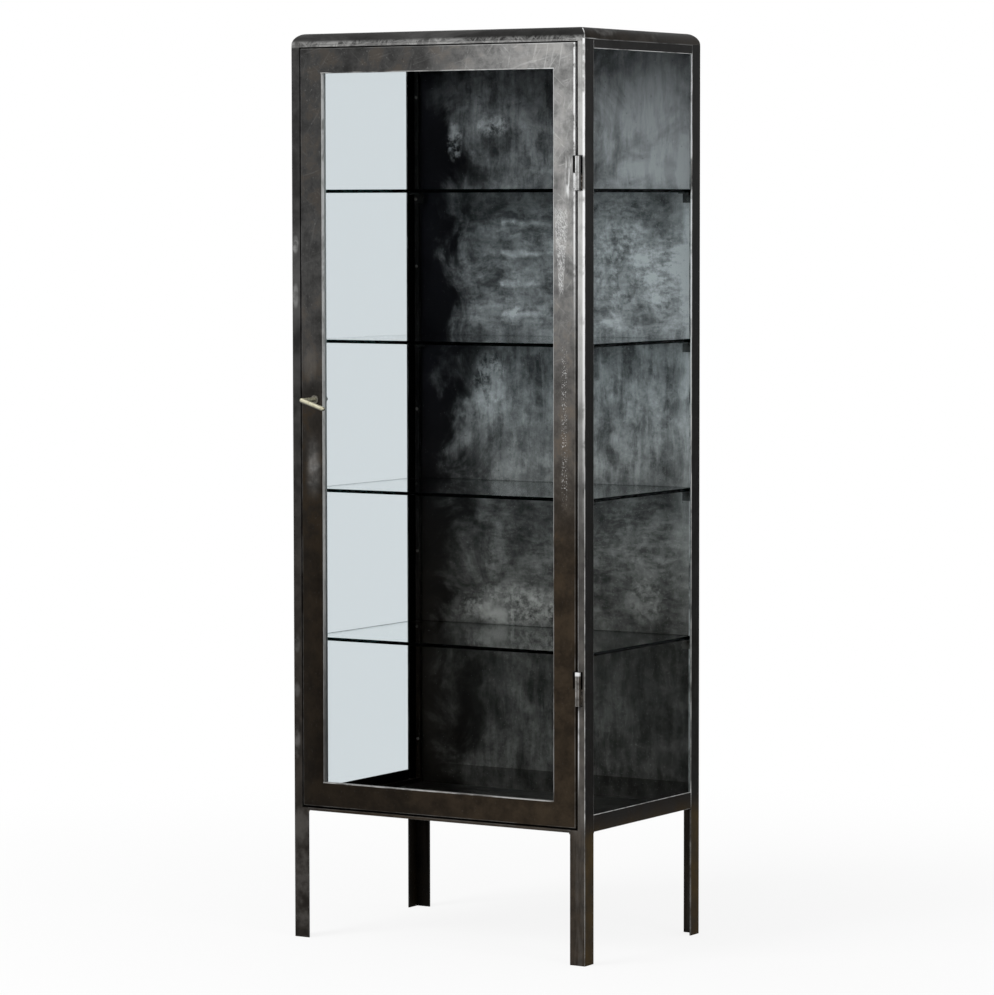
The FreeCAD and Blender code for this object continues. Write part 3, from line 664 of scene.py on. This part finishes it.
def wiped_turns(x, z, fine, broad):
    """Turns of a cloth wiped to and fro: rows of soft lines from the right, some of them bent back."""
    turn_x, first_z, pitch, breadth, climb = -0.122, 1.082, 0.055, 0.009, 0.45
    reach = x - (broad * 0.05).plus(turn_x)
    row = (z - first_z) / pitch
    height = (row.math("FRACT") - 0.5) * pitch
    behind = reach.math("MINIMUM", 0.0)
    ahead = reach | 0.0
    made = []
    for slope, start, stop in ((0.0, 0.01, 0.12), (climb, 0.015, 0.05)):
        off = height - ahead * slope
        away = (behind * behind).plus(off * off).math("SQRT")
        made.append(away.rise(breadth, 0.0) * ahead.rise(start, stop, 1.0, 0.0))
    level, climbing = made
    bent = climbing * broad.rise(0.46, 0.54)
    broken = broad.rise(0.3, 0.56, 0.35, 1.0) * fine.mix(0.45, 1.0)
    return (level | bent) * broken * row.band(0.05, 3.95, 0.1)


@finish
def sheet_steel(wires, shader, steel):
    """Back and floor sheets: near-black oxide with chalky wiped marks, darkened by painted shade under each
    shelf.
    """
    vector = wires.place()
    _, _, z = wires.parted(vector)
    _, face_y, _ = wires.facing()
    warped = wires.drifted(vector, 26.0, 4.0, (0.014, 0.0, 0.014))
    wide_x, _, wide_z = wires.parted(warped)
    cloud = wires.noise(vector, 9.0, 6.0, 0.62, 0.6)
    mottle = wires.noise(warped, 22.0, 8.0, 0.72).rise(0.38, 0.66)
    chalk = wires.noise(warped, 55.0, 8.0, 0.78).rise(0.42, 0.66)
    crumbs = wires.noise(warped, 70.0, 6.0, 0.7).rise(0.4, 0.66)
    dabs = wires.noise(wires.stretched(warped, (0.5, 1, 1.5)), 50.0, 5.0, 0.68).rise(0.42, 0.64)
    strands = brushed_grain(wires, vector=warped, stretch=(1, 1, 0.14), scale=70.0, low=0.38, high=0.64)
    curls = bright_curls(wires, vector=wires.stretched(warped, (1, 1, 0.7)), scale=24.0)
    spots = pits_and_specks(wires, vector=vector, scale=150.0)

    # Wiped chalk over the whole sheet
    level = ((z - SHELF_START) / SHELF_PITCH).math("FRACT")
    # Painted shade under each shelf, darkest just below it
    shelf_shade = level.rise(0.4, 1.0, 1.0, 0.4)
    ragged = wide_x.plus(cloud.rise(0.3, 0.7, -0.05, 0.05))
    to_right = ragged.rise(0.0, 0.2)
    from_left = ragged.rise(-0.24, -0.1, 0.0, 0.8).plus(to_right * z.rise(0.75, 1.2) * 0.6)
    from_foot = z.rise(0.25, 1.25, 0.3, 1.0)
    from_head = z.rise(1.42, 1.56, 1.0, to_right.mix(0.5, 1.0))
    side_low = (to_right * z.rise(0.7, 0.45)).mix(1.0, 0.6)
    uprights = z.rise(1.29, 1.36) | z.band(0.8, 1.07, 0.03) | z.rise(0.56, 0.5)
    calm = to_right * z.rise(1.3, 1.36)
    rough = mottle * 0.34 + chalk * 0.14 + uprights.mix(dabs, strands) * 0.24
    even = strands * 0.14 + 0.34
    base = (calm.mix(rough, even) + 0.12) * cloud.rise(0.34, 0.62, 0.7, 1.35)
    marked = base * shelf_shade * from_left * from_foot * from_head * side_low

    # Rubbed places, a pale haze, the turns of the cloth and the run at the right end
    rubbed = curls * 0.8 | crumbs
    for middle, reach, strength in SHEET_RUBS:
        marked += soft_spot((wide_x, wide_z), middle, reach) * rubbed * strength
    pale = soft_spot((wide_x, wide_z), (-0.03, 0.85), (0.16, 0.085)) * chalk.mix(0.08, 0.16)
    swept = wiped_turns(wide_x, wide_z, chalk, wires.noise(vector, 14.0, 2.0)) * 0.8
    brim = (wide_x.rise(0.24, 0.276) * wide_x.rise(0.268, 0.284, 1.0, 2.0) * z.band(0.6, 1.48, 0.1)
            * z.band(1.1, 1.3, 0.06).mix(0.2, 0.42) * strands.mix(0.6, 1.0))
    within = marked + (pale + brim) + swept + spots["Specks"] * from_left * 0.1
    outside = mottle * cloud * 0.16 + strands * 0.03
    bare = face_y.rise(0.5, 0.9).mix(within, outside)
    low_down = z.rise(1.05, 0.5)
    chalky = low_down.blend(tuple(steel.smear), LOW_SMEAR)
    layers = steel_layers(wires, patina=SHEET_BLACK, warm=SHEET_BROWN, ground=chalky, warmth=low_down,
                          bare=bare, pits=spots["Pits"], cloud=cloud)
    wires.fill(shader, {"Base Color": layers["Color"], "Metallic": layers["Metallic"] * 0.4,
                        "Roughness": layers["Roughness"] + 0.02, "Specular IOR Level": OXIDE_GLOSS})
    add_relief(wires, shader, mottle.plus(strands), SHEET_RELIEF)


@finish
def bead_steel(wires, shader, steel, pallor):
    """Bars of the glazing and the brackets: dark drawn steel with painted light in places, in the amount
    given, and painted shade towards the left.
    """
    vector = wires.place()
    x, y, z = wires.parted(vector)
    face_x, _, _ = wires.facing()
    cloud = wires.noise(vector, 22.0, 5.0, 0.62)
    grain = brushed_grain(wires, vector=vector, stretch=(1, 1, 0.05), scale=300.0)
    spots = pits_and_specks(wires, vector=vector, scale=260.0)
    # Painted light: paler on the rear beads at the right, and on the side of the left door bead by the pane
    pale = x.rise(0.2, 0.28) * y.rise(0.1, 0.2) * cloud.rise(0.35, 0.62, 0.12, 0.75) * pallor
    pane_side_light = (y.rise(FRONT + 0.0205, FRONT + 0.0195) * x.rise(-0.2, -0.22) * face_x.rise(0.5, 0.85)
               * z.rise(0.35, 1.3, 0.2, 0.8) * pallor)
    bare = pale + pane_side_light + spots["Specks"] * 0.1
    steel_surface(wires, shader, steel, grain.plus(cloud), warmth=z.rise(0.9, 0.3), bare=bare,
                  pits=spots["Pits"], cloud=cloud, dull=pane_side_light, shade=x.rise(-0.25, 0.25, 0.2, 0.8))


@finish
def hinge_steel(wires, shader, steel):
    """Hinge barrels: rubbed bright on the upper one's front with painted highlights by the way they face,
    dull and brown below; leaves darkened by painted shade.
    """
    vector = wires.place()
    _, y, z = wires.parted(vector)
    face_x, _, _ = wires.facing()
    cloud = wires.noise(vector, 90.0, 5.0, 0.62)
    grain = brushed_grain(wires, vector=vector, stretch=(1, 1, 0.12), scale=420.0)
    spots = pits_and_specks(wires, vector=vector, scale=420.0)
    wear = wear_of(wires, vector, 0.7)
    # Painted highlights: streaks on the barrels by the way they face; the leaves behind the front get
    # painted shade
    barrel_highlights = face_x.band(-0.45, 0.0, 0.12) + face_x.band(0.45, 0.7, 0.1)
    proud = y.rise(FRONT + 0.0005, FRONT - 0.0005)
    polish_and_highlight = z.rise(0.6, 1.2, 0.22, 0.95) * barrel_highlights.mix(0.25, 1.0) * proud
    bare = polish_and_highlight * cloud.rise(0.3, 0.6, 0.6, 1.1) + wear * proud
    cap = z.band(LOW_HINGE_TOP - 0.006, LOW_HINGE_TOP + 0.001, 0.002) * proud * 0.8
    shine = cap + polish_and_highlight * barrel_highlights * cloud.rise(0.35, 0.6, 0.25, 1.0)
    steel_surface(wires, shader, steel, grain.plus(cloud), warmth=z.rise(1.2, 0.6), bare=bare,
                  pits=spots["Pits"], cloud=cloud, shade=proud.mix(0.2, 1.2), shine=shine)


@finish
def small_metal(wires, shader, colour, tarnished, roughness, metallic, scale, under=1.0):
    """Small metal with cloudy tarnish; under is what is left of its colour where it faces down, the rest
    going to painted shade.
    """
    vector = wires.place()
    _, _, face_z = wires.facing()
    grain = brushed_grain(wires, vector=vector, stretch=(1, 0.25, 1), scale=500.0)
    spots = pits_and_specks(wires, vector=vector, scale=scale * 4)
    tarnish = wires.noise(vector, scale, 4.0, 0.6).rise(0.45, 0.72)
    worn = tarnish.blend(tuple(colour), tarnished)
    shaded = face_z.rise(-0.5, 0.3).mix(1.0 - under, 0.0).blend(worn, UNDERSIDE_SHADE)
    wires.fill(shader, {"Base Color": (spots["Pits"] * 0.5).blend(shaded, SMALL_PIT),
                        "Roughness": tarnish.mix(roughness, roughness + 0.18), "Metallic": metallic})
    add_relief(wires, shader, grain, SMALL_RELIEF)


@finish
def weld_steel(wires, shader, steel):
    """Weld beads: dark scale with rust-brown and bright spatter."""
    vector = wires.place()
    cloud = wires.noise(vector, 180.0, 4.0, 0.6)
    spots = pits_and_specks(wires, vector=vector, scale=500.0)
    bare = spots["Specks"] * 0.6 + cloud.rise(0.5, 0.75, 0.0, 0.3)
    steel_surface(wires, shader, steel, cloud, warmth=cloud.rise(0.35, 0.6), bare=bare, pits=spots["Pits"],
                  cloud=cloud)


@finish
def window_glass(wires, shader, tint, edge, ior, lying=False):
    """Clear float glass with dark green cut edges and a faint veil of dust; lamps shine through it."""
    face_x, face_y, face_z = (abs(way) for way in wires.facing())
    broad_face = face_z if lying else face_x | face_y
    veil = wiped_smears(wires, vector=wires.place(), scale=4.0, twist=0.2, low=0.45, high=0.8)
    clear = (veil * 0.04).blend(tuple(tint), DUST)
    colour = broad_face.rise(0.6, 0.4).blend(clear, tuple(edge))
    wires.fill(shader, {"Base Color": colour, "Roughness": 0.0, "Transmission Weight": 1.0, "Metallic": 0.0,
                        "IOR": ior})
    passing = wires.made("BSDF", "ShaderNodeBsdfTransparent", {"Color": LAMP_THROUGH_GLASS})
    return wires.swapped(wires.made("Is Shadow Ray", "ShaderNodeLightPath"), shader, passing)


def put(name, data):
    """New object in the scene, at the origin."""
    made = bpy.data.objects.new(name, data)
    bpy.context.scene.collection.objects.link(made)
    return made


def paint(nodes, material):
    """Gives the packed nodes' own objects their material."""
    for node in nodes:
        target = NODES[node]
        target.data.materials.clear()
        target.data.materials.append(material)


def long_axis(node):
    low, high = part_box(node)
    size = high - low
    return max(range(3), key=lambda axis: size[axis])


def any_edge(edge):
    return True


def along(axis):
    """Test for an edge that runs along one axis."""
    def runs(edge):
        way = edge.verts[1].co - edge.verts[0].co
        return abs(way[axis]) > STRAIGHT_SHARE * way.length and way.length > SHORTEST_EDGE
    return runs


def in_front(axis):
    """Test for an edge that runs along one axis in the plane of the front."""
    runs = along(axis)

    def lies(edge):
        return runs(edge) and all(abs(vert.co.y - FRONT) < FLUSH_REACH for vert in edge.verts)
    return lies


def dressed(node, material, rounding, keep_edge):
    """Copy of a packed node with chosen edges rounded and marked as worn; it stands for the node."""
    mesh = bmesh.new()
    mesh.from_mesh(NODES[node].data)
    mark = mesh.faces.layers.float.new("worn_edge")
    bmesh.ops.remove_doubles(mesh, verts=mesh.verts, dist=MERGE_REACH)
    bmesh.ops.dissolve_limit(mesh, angle_limit=FLAT_ANGLE, verts=mesh.verts, edges=mesh.edges)
    chosen = [edge for edge in mesh.edges if edge.is_manifold and edge.is_convex
              and edge.calc_face_angle(0) > EDGE_ANGLE and keep_edge(edge)]
    for face in mesh.faces:
        face.smooth = True
    rounded = bmesh.ops.bevel(mesh, geom=chosen, offset=rounding, offset_type="OFFSET", segments=ROUND_STEPS,
                              profile=0.5, affect="EDGES", clamp_overlap=True, material=-1)
    for face in rounded["faces"]:
        face.smooth = False
        face[mark] = 1.0
    data = bpy.data.meshes.new("worn_" + node)
    mesh.to_mesh(data)
    mesh.free()
    data.set_sharp_from_angle(angle=CREASE_ANGLE)
    data.materials.append(material)
    piece = put("worn_" + node, data)
    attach(piece, NODE_BODY[node])
    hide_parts(node)


class CABINET_OT_frame(bpy.types.Operator):
    """Round and finish the posts and rails"""
    bl_idname = "cabinet.frame"
    bl_label = "Posts and rails"

    def execute(self, context):
        steel = context.scene.cabinet_steel
        upright = frame_steel("frame_steel", steel, (1, 1, 0.06))
        level = frame_steel("rail_steel", steel, (0.06, 0.06, 1))
        for nodes, material in ((POSTS, upright), (RAILS, level)):
            for node in nodes:
                dressed(node, material, steel.angle_round, along(long_axis(node)))
        return {"FINISHED"}


class CABINET_OT_roof(bpy.types.Operator):
    """Round and finish the roof"""
    bl_idname = "cabinet.roof"
    bl_label = "Roof"

    def execute(self, context):
        steel = context.scene.cabinet_steel
        dressed("roof", roof_steel("roof_steel", steel), steel.angle_round, any_edge)
        return {"FINISHED"}


class CABINET_OT_sheets(bpy.types.Operator):
    """Finish the back and floor sheets"""
    bl_idname = "cabinet.sheets"
    bl_label = "Back and floor"

    def execute(self, context):
        paint(SHEETS, sheet_steel("sheet_steel", context.scene.cabinet_steel))
        return {"FINISHED"}


class CABINET_OT_bars(bpy.types.Operator):
    """Finish the door stops, glazing beads, shelf brackets and keeper"""
    bl_idname = "cabinet.bars"
    bl_label = "Beads, stops and brackets"

    def execute(self, context):
        steel = context.scene.cabinet_steel
        paint(BARS, bead_steel("bead_steel", steel, pallor=1.0))
        paint(BRACKETS, bead_steel("bracket_steel", steel, pallor=0.1))
        return {"FINISHED"}


class CABINET_OT_glass(bpy.types.Operator):
    """Finish the panes and the shelves"""
    bl_idname = "cabinet.glass"
    bl_label = "Glass"

    def execute(self, context):
        glass = context.scene.cabinet_glass
        paint(PANES, window_glass("clear_glass", glass.pane, glass.edge, PANE_IOR))
        paint(SHELVES, window_glass("shelf_glass", glass.shelf, glass.edge, SHELF_IOR, lying=True))
        return {"FINISHED"}


class CABINET_OT_door(bpy.types.Operator):
    """Round and finish the door's folded frame"""
    bl_idname = "cabinet.door"
    bl_label = "Door frame"

    def execute(self, context):
        steel = context.scene.cabinet_steel
        level = door_steel("door_rail_steel", steel, (0.08, 1, 1))
        upright = door_steel("door_steel", steel, (1, 1, 0.08))
        materials = (level, level, upright)
        for node in DOOR_BARS:
            axis = long_axis(node)
            dressed(node, materials[axis], steel.fold_round, in_front(axis))
        return {"FINISHED"}


class CABINET_OT_hinges(bpy.types.Operator):
    """Round and finish the hinge barrels and pins"""
    bl_idname = "cabinet.hinges"
    bl_label = "Hinges"

    def execute(self, context):
        steel = context.scene.cabinet_steel
        material = hinge_steel("hinge_steel", steel)
        for node in KNUCKLES:
            dressed(node, material, steel.bar_round, any_edge)
        paint(PINS, material)
        return {"FINISHED"}


class CABINET_OT_handle(bpy.types.Operator):
    """Finish the lever, its rose, the latch and the bearings"""
    bl_idname = "cabinet.handle"
    bl_label = "Handle and latch"

    def execute(self, context):
        steel = context.scene.cabinet_steel
        paint(GRIPS, small_metal("handle_metal", steel.plating, tarnished=(0.4, 0.37, 0.25), roughness=0.25,
                                 metallic=0.5, scale=160.0, under=0.12))
        paint(ROSES, small_metal("rose_metal", ROSE_STEEL, tarnished=(0.07, 0.065, 0.05), roughness=0.4,
                                 metallic=1.0, scale=160.0))
        paint(LATCHES, small_metal("latch_steel", steel.ground, tarnished=(0.15, 0.14, 0.12), roughness=0.34,
                                   metallic=1.0, scale=110.0))
        paint(BEARINGS, small_metal("bearing_brass", steel.brass, tarnished=(0.3, 0.21, 0.09),
                                    roughness=0.28, metallic=1.0, scale=150.0))
        return {"FINISHED"}


class CABINET_OT_screws(bpy.types.Operator):
    """Finish the screws and the nut"""
    bl_idname = "cabinet.screws"
    bl_label = "Screws"

    def execute(self, context):
        paint(SCREWS, small_metal("screw_steel", BLACK_SCREW, tarnished=(0.04, 0.035, 0.03), roughness=0.4,
                                  metallic=0.9, scale=240.0))
        return {"FINISHED"}


def weld_tree(material):
    """Geometry tree that lays uneven drops along the edges of a mesh, and its inputs' identifiers."""
    tree = bpy.data.node_groups.new("Weld beads", "GeometryNodeTree")
    inputs = {}
    kinds = {"Geometry": "Geometry", "Radius": "Float", "Spacing": "Float", "Seed": "Int"}
    for label, kind in kinds.items():
        socket = tree.interface.new_socket(label, in_out="INPUT", socket_type="NodeSocket" + kind)
        inputs[label] = socket.identifier
    tree.interface.new_socket("Geometry", in_out="OUTPUT", socket_type="NodeSocketGeometry")
    wires = Wires(tree)
    given = wires.all_of(wires.add("NodeGroupInput"))
    path = wires.made("Curve", "GeometryNodeMeshToCurve", {"Mesh": given["Geometry"]})
    points = wires.made("Points", "GeometryNodeCurveToPoints", {"Curve": path, "Length": given["Spacing"]},
                        mode="LENGTH")
    drop = wires.made("Mesh", "GeometryNodeMeshIcoSphere", {"Subdivisions": 2, "Radius": given["Radius"]})
    smallest, largest = DROP_SIZES
    size = wires.made(1, "FunctionNodeRandomValue", {2: smallest, 3: largest, "Seed": given["Seed"]},
                      data_type="FLOAT")
    laid = wires.made("Instances", "GeometryNodeInstanceOnPoints",
                      {"Points": points, "Instance": drop, "Scale": size})
    real = wires.made("Geometry", "GeometryNodeRealizeInstances", {"Geometry": laid})
    smooth = wires.made("Geometry", "GeometryNodeSetShadeSmooth", {"Geometry": real})
    coated = wires.made("Geometry", "GeometryNodeSetMaterial", {"Geometry": smooth, "Material": material})
    wires.add("NodeGroupOutput", {"Geometry": coated})
    return tree, inputs


def weld_paths():
    """Ends of the short lines where the legs meet the bottom rails and the fixed knuckles meet the post."""
    points = []
    rail_low, rail_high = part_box("bottom_rail_front")
    side_low, side_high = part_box("bottom_rail_right")
    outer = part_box("post_front_right")[1].x
    z = rail_low.z - WELD_INSET / 2
    for hand in (-1, 1):
        x = hand * (rail_high.x + WELD_INSET / 2)
        for ends in ((FRONT + WELD_INSET, FRONT + ANGLE_WALL), (BACK - ANGLE_WALL, BACK - WELD_INSET)):
            points += [(x, y, z) for y in ends]
        for y in (side_low.y - WELD_INSET / 2, side_high.y + WELD_INSET / 2):
            points += [(hand * (outer - inset), y, z) for inset in (WELD_INSET, ANGLE_WALL)]
    for place in ("lower", "upper"):
        low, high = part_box("hinge_knuckle_fixed_" + place)
        seam = high.x - HINGE_SEAM
        points += [(seam, FRONT + WELD_INSET, z) for z in (low.z + WELD_INSET, high.z - WELD_INSET)]
    return points


class CABINET_OT_welds(bpy.types.Operator):
    """Lay the weld beads at the legs and the hinges"""
    bl_idname = "cabinet.welds"
    bl_label = "Weld beads"

    def execute(self, context):
        sizes = context.scene.cabinet_welds
        tree, inputs = weld_tree(weld_steel("weld_steel", context.scene.cabinet_steel))
        points = weld_paths()
        lines = bpy.data.meshes.new("weld_lines")
        lines.from_pydata(points, [(index, index + 1) for index in range(0, len(points), 2)], [])
        guide = put("weld_lines", lines)
        modifier = guide.modifiers.new("Weld beads", "NODES")
        modifier.node_group = tree
        modifier[inputs["Radius"]] = sizes.radius
        modifier[inputs["Spacing"]] = sizes.spacing
        modifier[inputs["Seed"]] = sizes.seed
        evaluated = guide.evaluated_get(context.evaluated_depsgraph_get())
        data = bpy.data.meshes.new_from_object(evaluated)
        bpy.data.objects.remove(guide)
        data.name = "weld_beads"
        piece = put("weld_beads", data)
        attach(piece, "cabinet")
        return {"FINISHED"}


def seen_rays(wires):
    """One for the rays that show the backdrop: straight to the camera, by reflection or through glass."""
    rays = wires.all_of(wires.add("ShaderNodeLightPath"))
    return rays["Is Camera Ray"] | rays["Is Glossy Ray"] | rays["Is Transmission Ray"]


def white_world(ambient):
    """World that shows as white and lights the part more softly."""
    world = bpy.data.worlds.new("studio")
    world.use_nodes = True
    world.node_tree.nodes.clear()
    wires = Wires(world.node_tree)
    sockets = {"Color": WHITE, "Strength": seen_rays(wires).mix(ambient, 1.0)}
    wires.add("ShaderNodeOutputWorld", {"Surface": wires.made(0, "ShaderNodeBackground", sockets)})
    return world


@finish
def pale_floor(wires, shader, colour):
    """Floor that shows as the white backdrop and still takes a soft shadow."""
    wires.fill(shader, {"Base Color": tuple(colour), "Roughness": 0.9, "Specular IOR Level": 0.0})
    glow = wires.made(0, "ShaderNodeEmission", {"Color": WHITE, "Strength": 1.0})
    away = wires.made("Value", "ShaderNodeVectorMath", {0: wires.place()}, operation="LENGTH")
    shown = seen_rays(wires) * away.rise(*FLOOR_CLEARS, FLOOR_SHOWN, 1.0)
    return wires.swapped(shown, shader, glow)


def soft_lamp(name, place, size, power):
    """Area lamp that points at the cabinet and doesn't show itself."""
    data = bpy.data.lights.new(name, "AREA")
    data.shape = "RECTANGLE"
    data.size, data.size_y = size
    data.energy = power
    lamp = put(name, data)
    lamp.location = place
    lamp.rotation_mode = "QUATERNION"
    lamp.rotation_quaternion = (Vector(LAMP_AIM) - Vector(place)).to_track_quat("-Z", "Y")
    lamp.visible_camera = False
    lamp.visible_glossy = False
    lamp.visible_transmission = False


def fitted_camera(lens):
    """Camera at the place and turn from which the cabinet is shown."""
    data = bpy.data.cameras.new("camera")
    data.lens = lens
    data.sensor_width = SENSOR_WIDTH
    camera = put("camera", data)
    level = math.cos(CAMERA_PITCH)
    ahead = Vector((-math.sin(CAMERA_YAW) * level, math.cos(CAMERA_YAW) * level, -math.sin(CAMERA_PITCH)))
    camera.location = CAMERA_PLACE
    camera.rotation_mode = "QUATERNION"
    camera.rotation_quaternion = ahead.to_track_quat("-Z", "Y") @ Quaternion((0, 0, 1), CAMERA_ROLL)
    return camera


class CABINET_OT_stage(bpy.types.Operator):
    """Set the floor, the lamps, the world and the camera"""
    bl_idname = "cabinet.stage"
    bl_label = "Stage"

    def execute(self, context):
        stage = context.scene.cabinet_stage
        corners = [(FLOOR_REACH * x, FLOOR_REACH * y, 0) for x, y in ((-1, -1), (1, -1), (1, 1), (-1, 1))]
        ground = bpy.data.meshes.new("floor")
        ground.from_pydata(corners, [], [(0, 1, 2, 3)])
        ground.materials.append(pale_floor("pale_floor", stage.floor_color))
        floor = put("floor", ground)
        context.scene.world = white_world(stage.ambient)
        soft_lamp("key", KEY_PLACE, KEY_SIZE, stage.key_power)
        soft_lamp("fill", FILL_PLACE, FILL_SIZE, stage.fill_power)
        context.scene.camera = fitted_camera(stage.lens)
        context.scene.view_settings.view_transform = "Standard"
        return {"FINISHED"}


OPERATORS = (CABINET_OT_frame, CABINET_OT_roof, CABINET_OT_sheets, CABINET_OT_bars, CABINET_OT_glass,
             CABINET_OT_door, CABINET_OT_hinges, CABINET_OT_handle, CABINET_OT_screws, CABINET_OT_welds,
             CABINET_OT_stage)
SETTINGS = {"cabinet_steel": SteelSettings, "cabinet_glass": GlassSettings, "cabinet_welds": WeldSettings,
            "cabinet_stage": StageSettings}


class CABINET_PT_finishes(bpy.types.Panel):
    """Settings and steps of the cabinet's finishes"""
    bl_idname = "CABINET_PT_finishes"
    bl_label = "Cabinet finishes"
    bl_space_type = "VIEW_3D"
    bl_region_type = "UI"
    bl_category = "Cabinet"

    def draw(self, context):
        for name, kind in SETTINGS.items():
            box = self.layout.box()
            box.label(text=kind.__doc__.rstrip("."))
            for field in kind.__annotations__:
                box.prop(getattr(context.scene, name), field)
        for operator in OPERATORS:
            self.layout.operator(operator.bl_idname)


CLASSES = (*SETTINGS.values(), *OPERATORS, CABINET_PT_finishes)


def register():
    for kind in CLASSES:
        bpy.utils.register_class(kind)
    for name, kind in SETTINGS.items():
        setattr(bpy.types.Scene, name, bpy.props.PointerProperty(type=kind))


def unregister():
    for name in SETTINGS:
        delattr(bpy.types.Scene, name)
    for kind in reversed(CLASSES):
        bpy.utils.unregister_class(kind)


def main():
    register()
    for operator in OPERATORS:
        group, name = operator.bl_idname.split(".")
        getattr(getattr(bpy.ops, group), name)()
    bpy.context.view_layer.update()


if __name__ == "__main__":
    main()
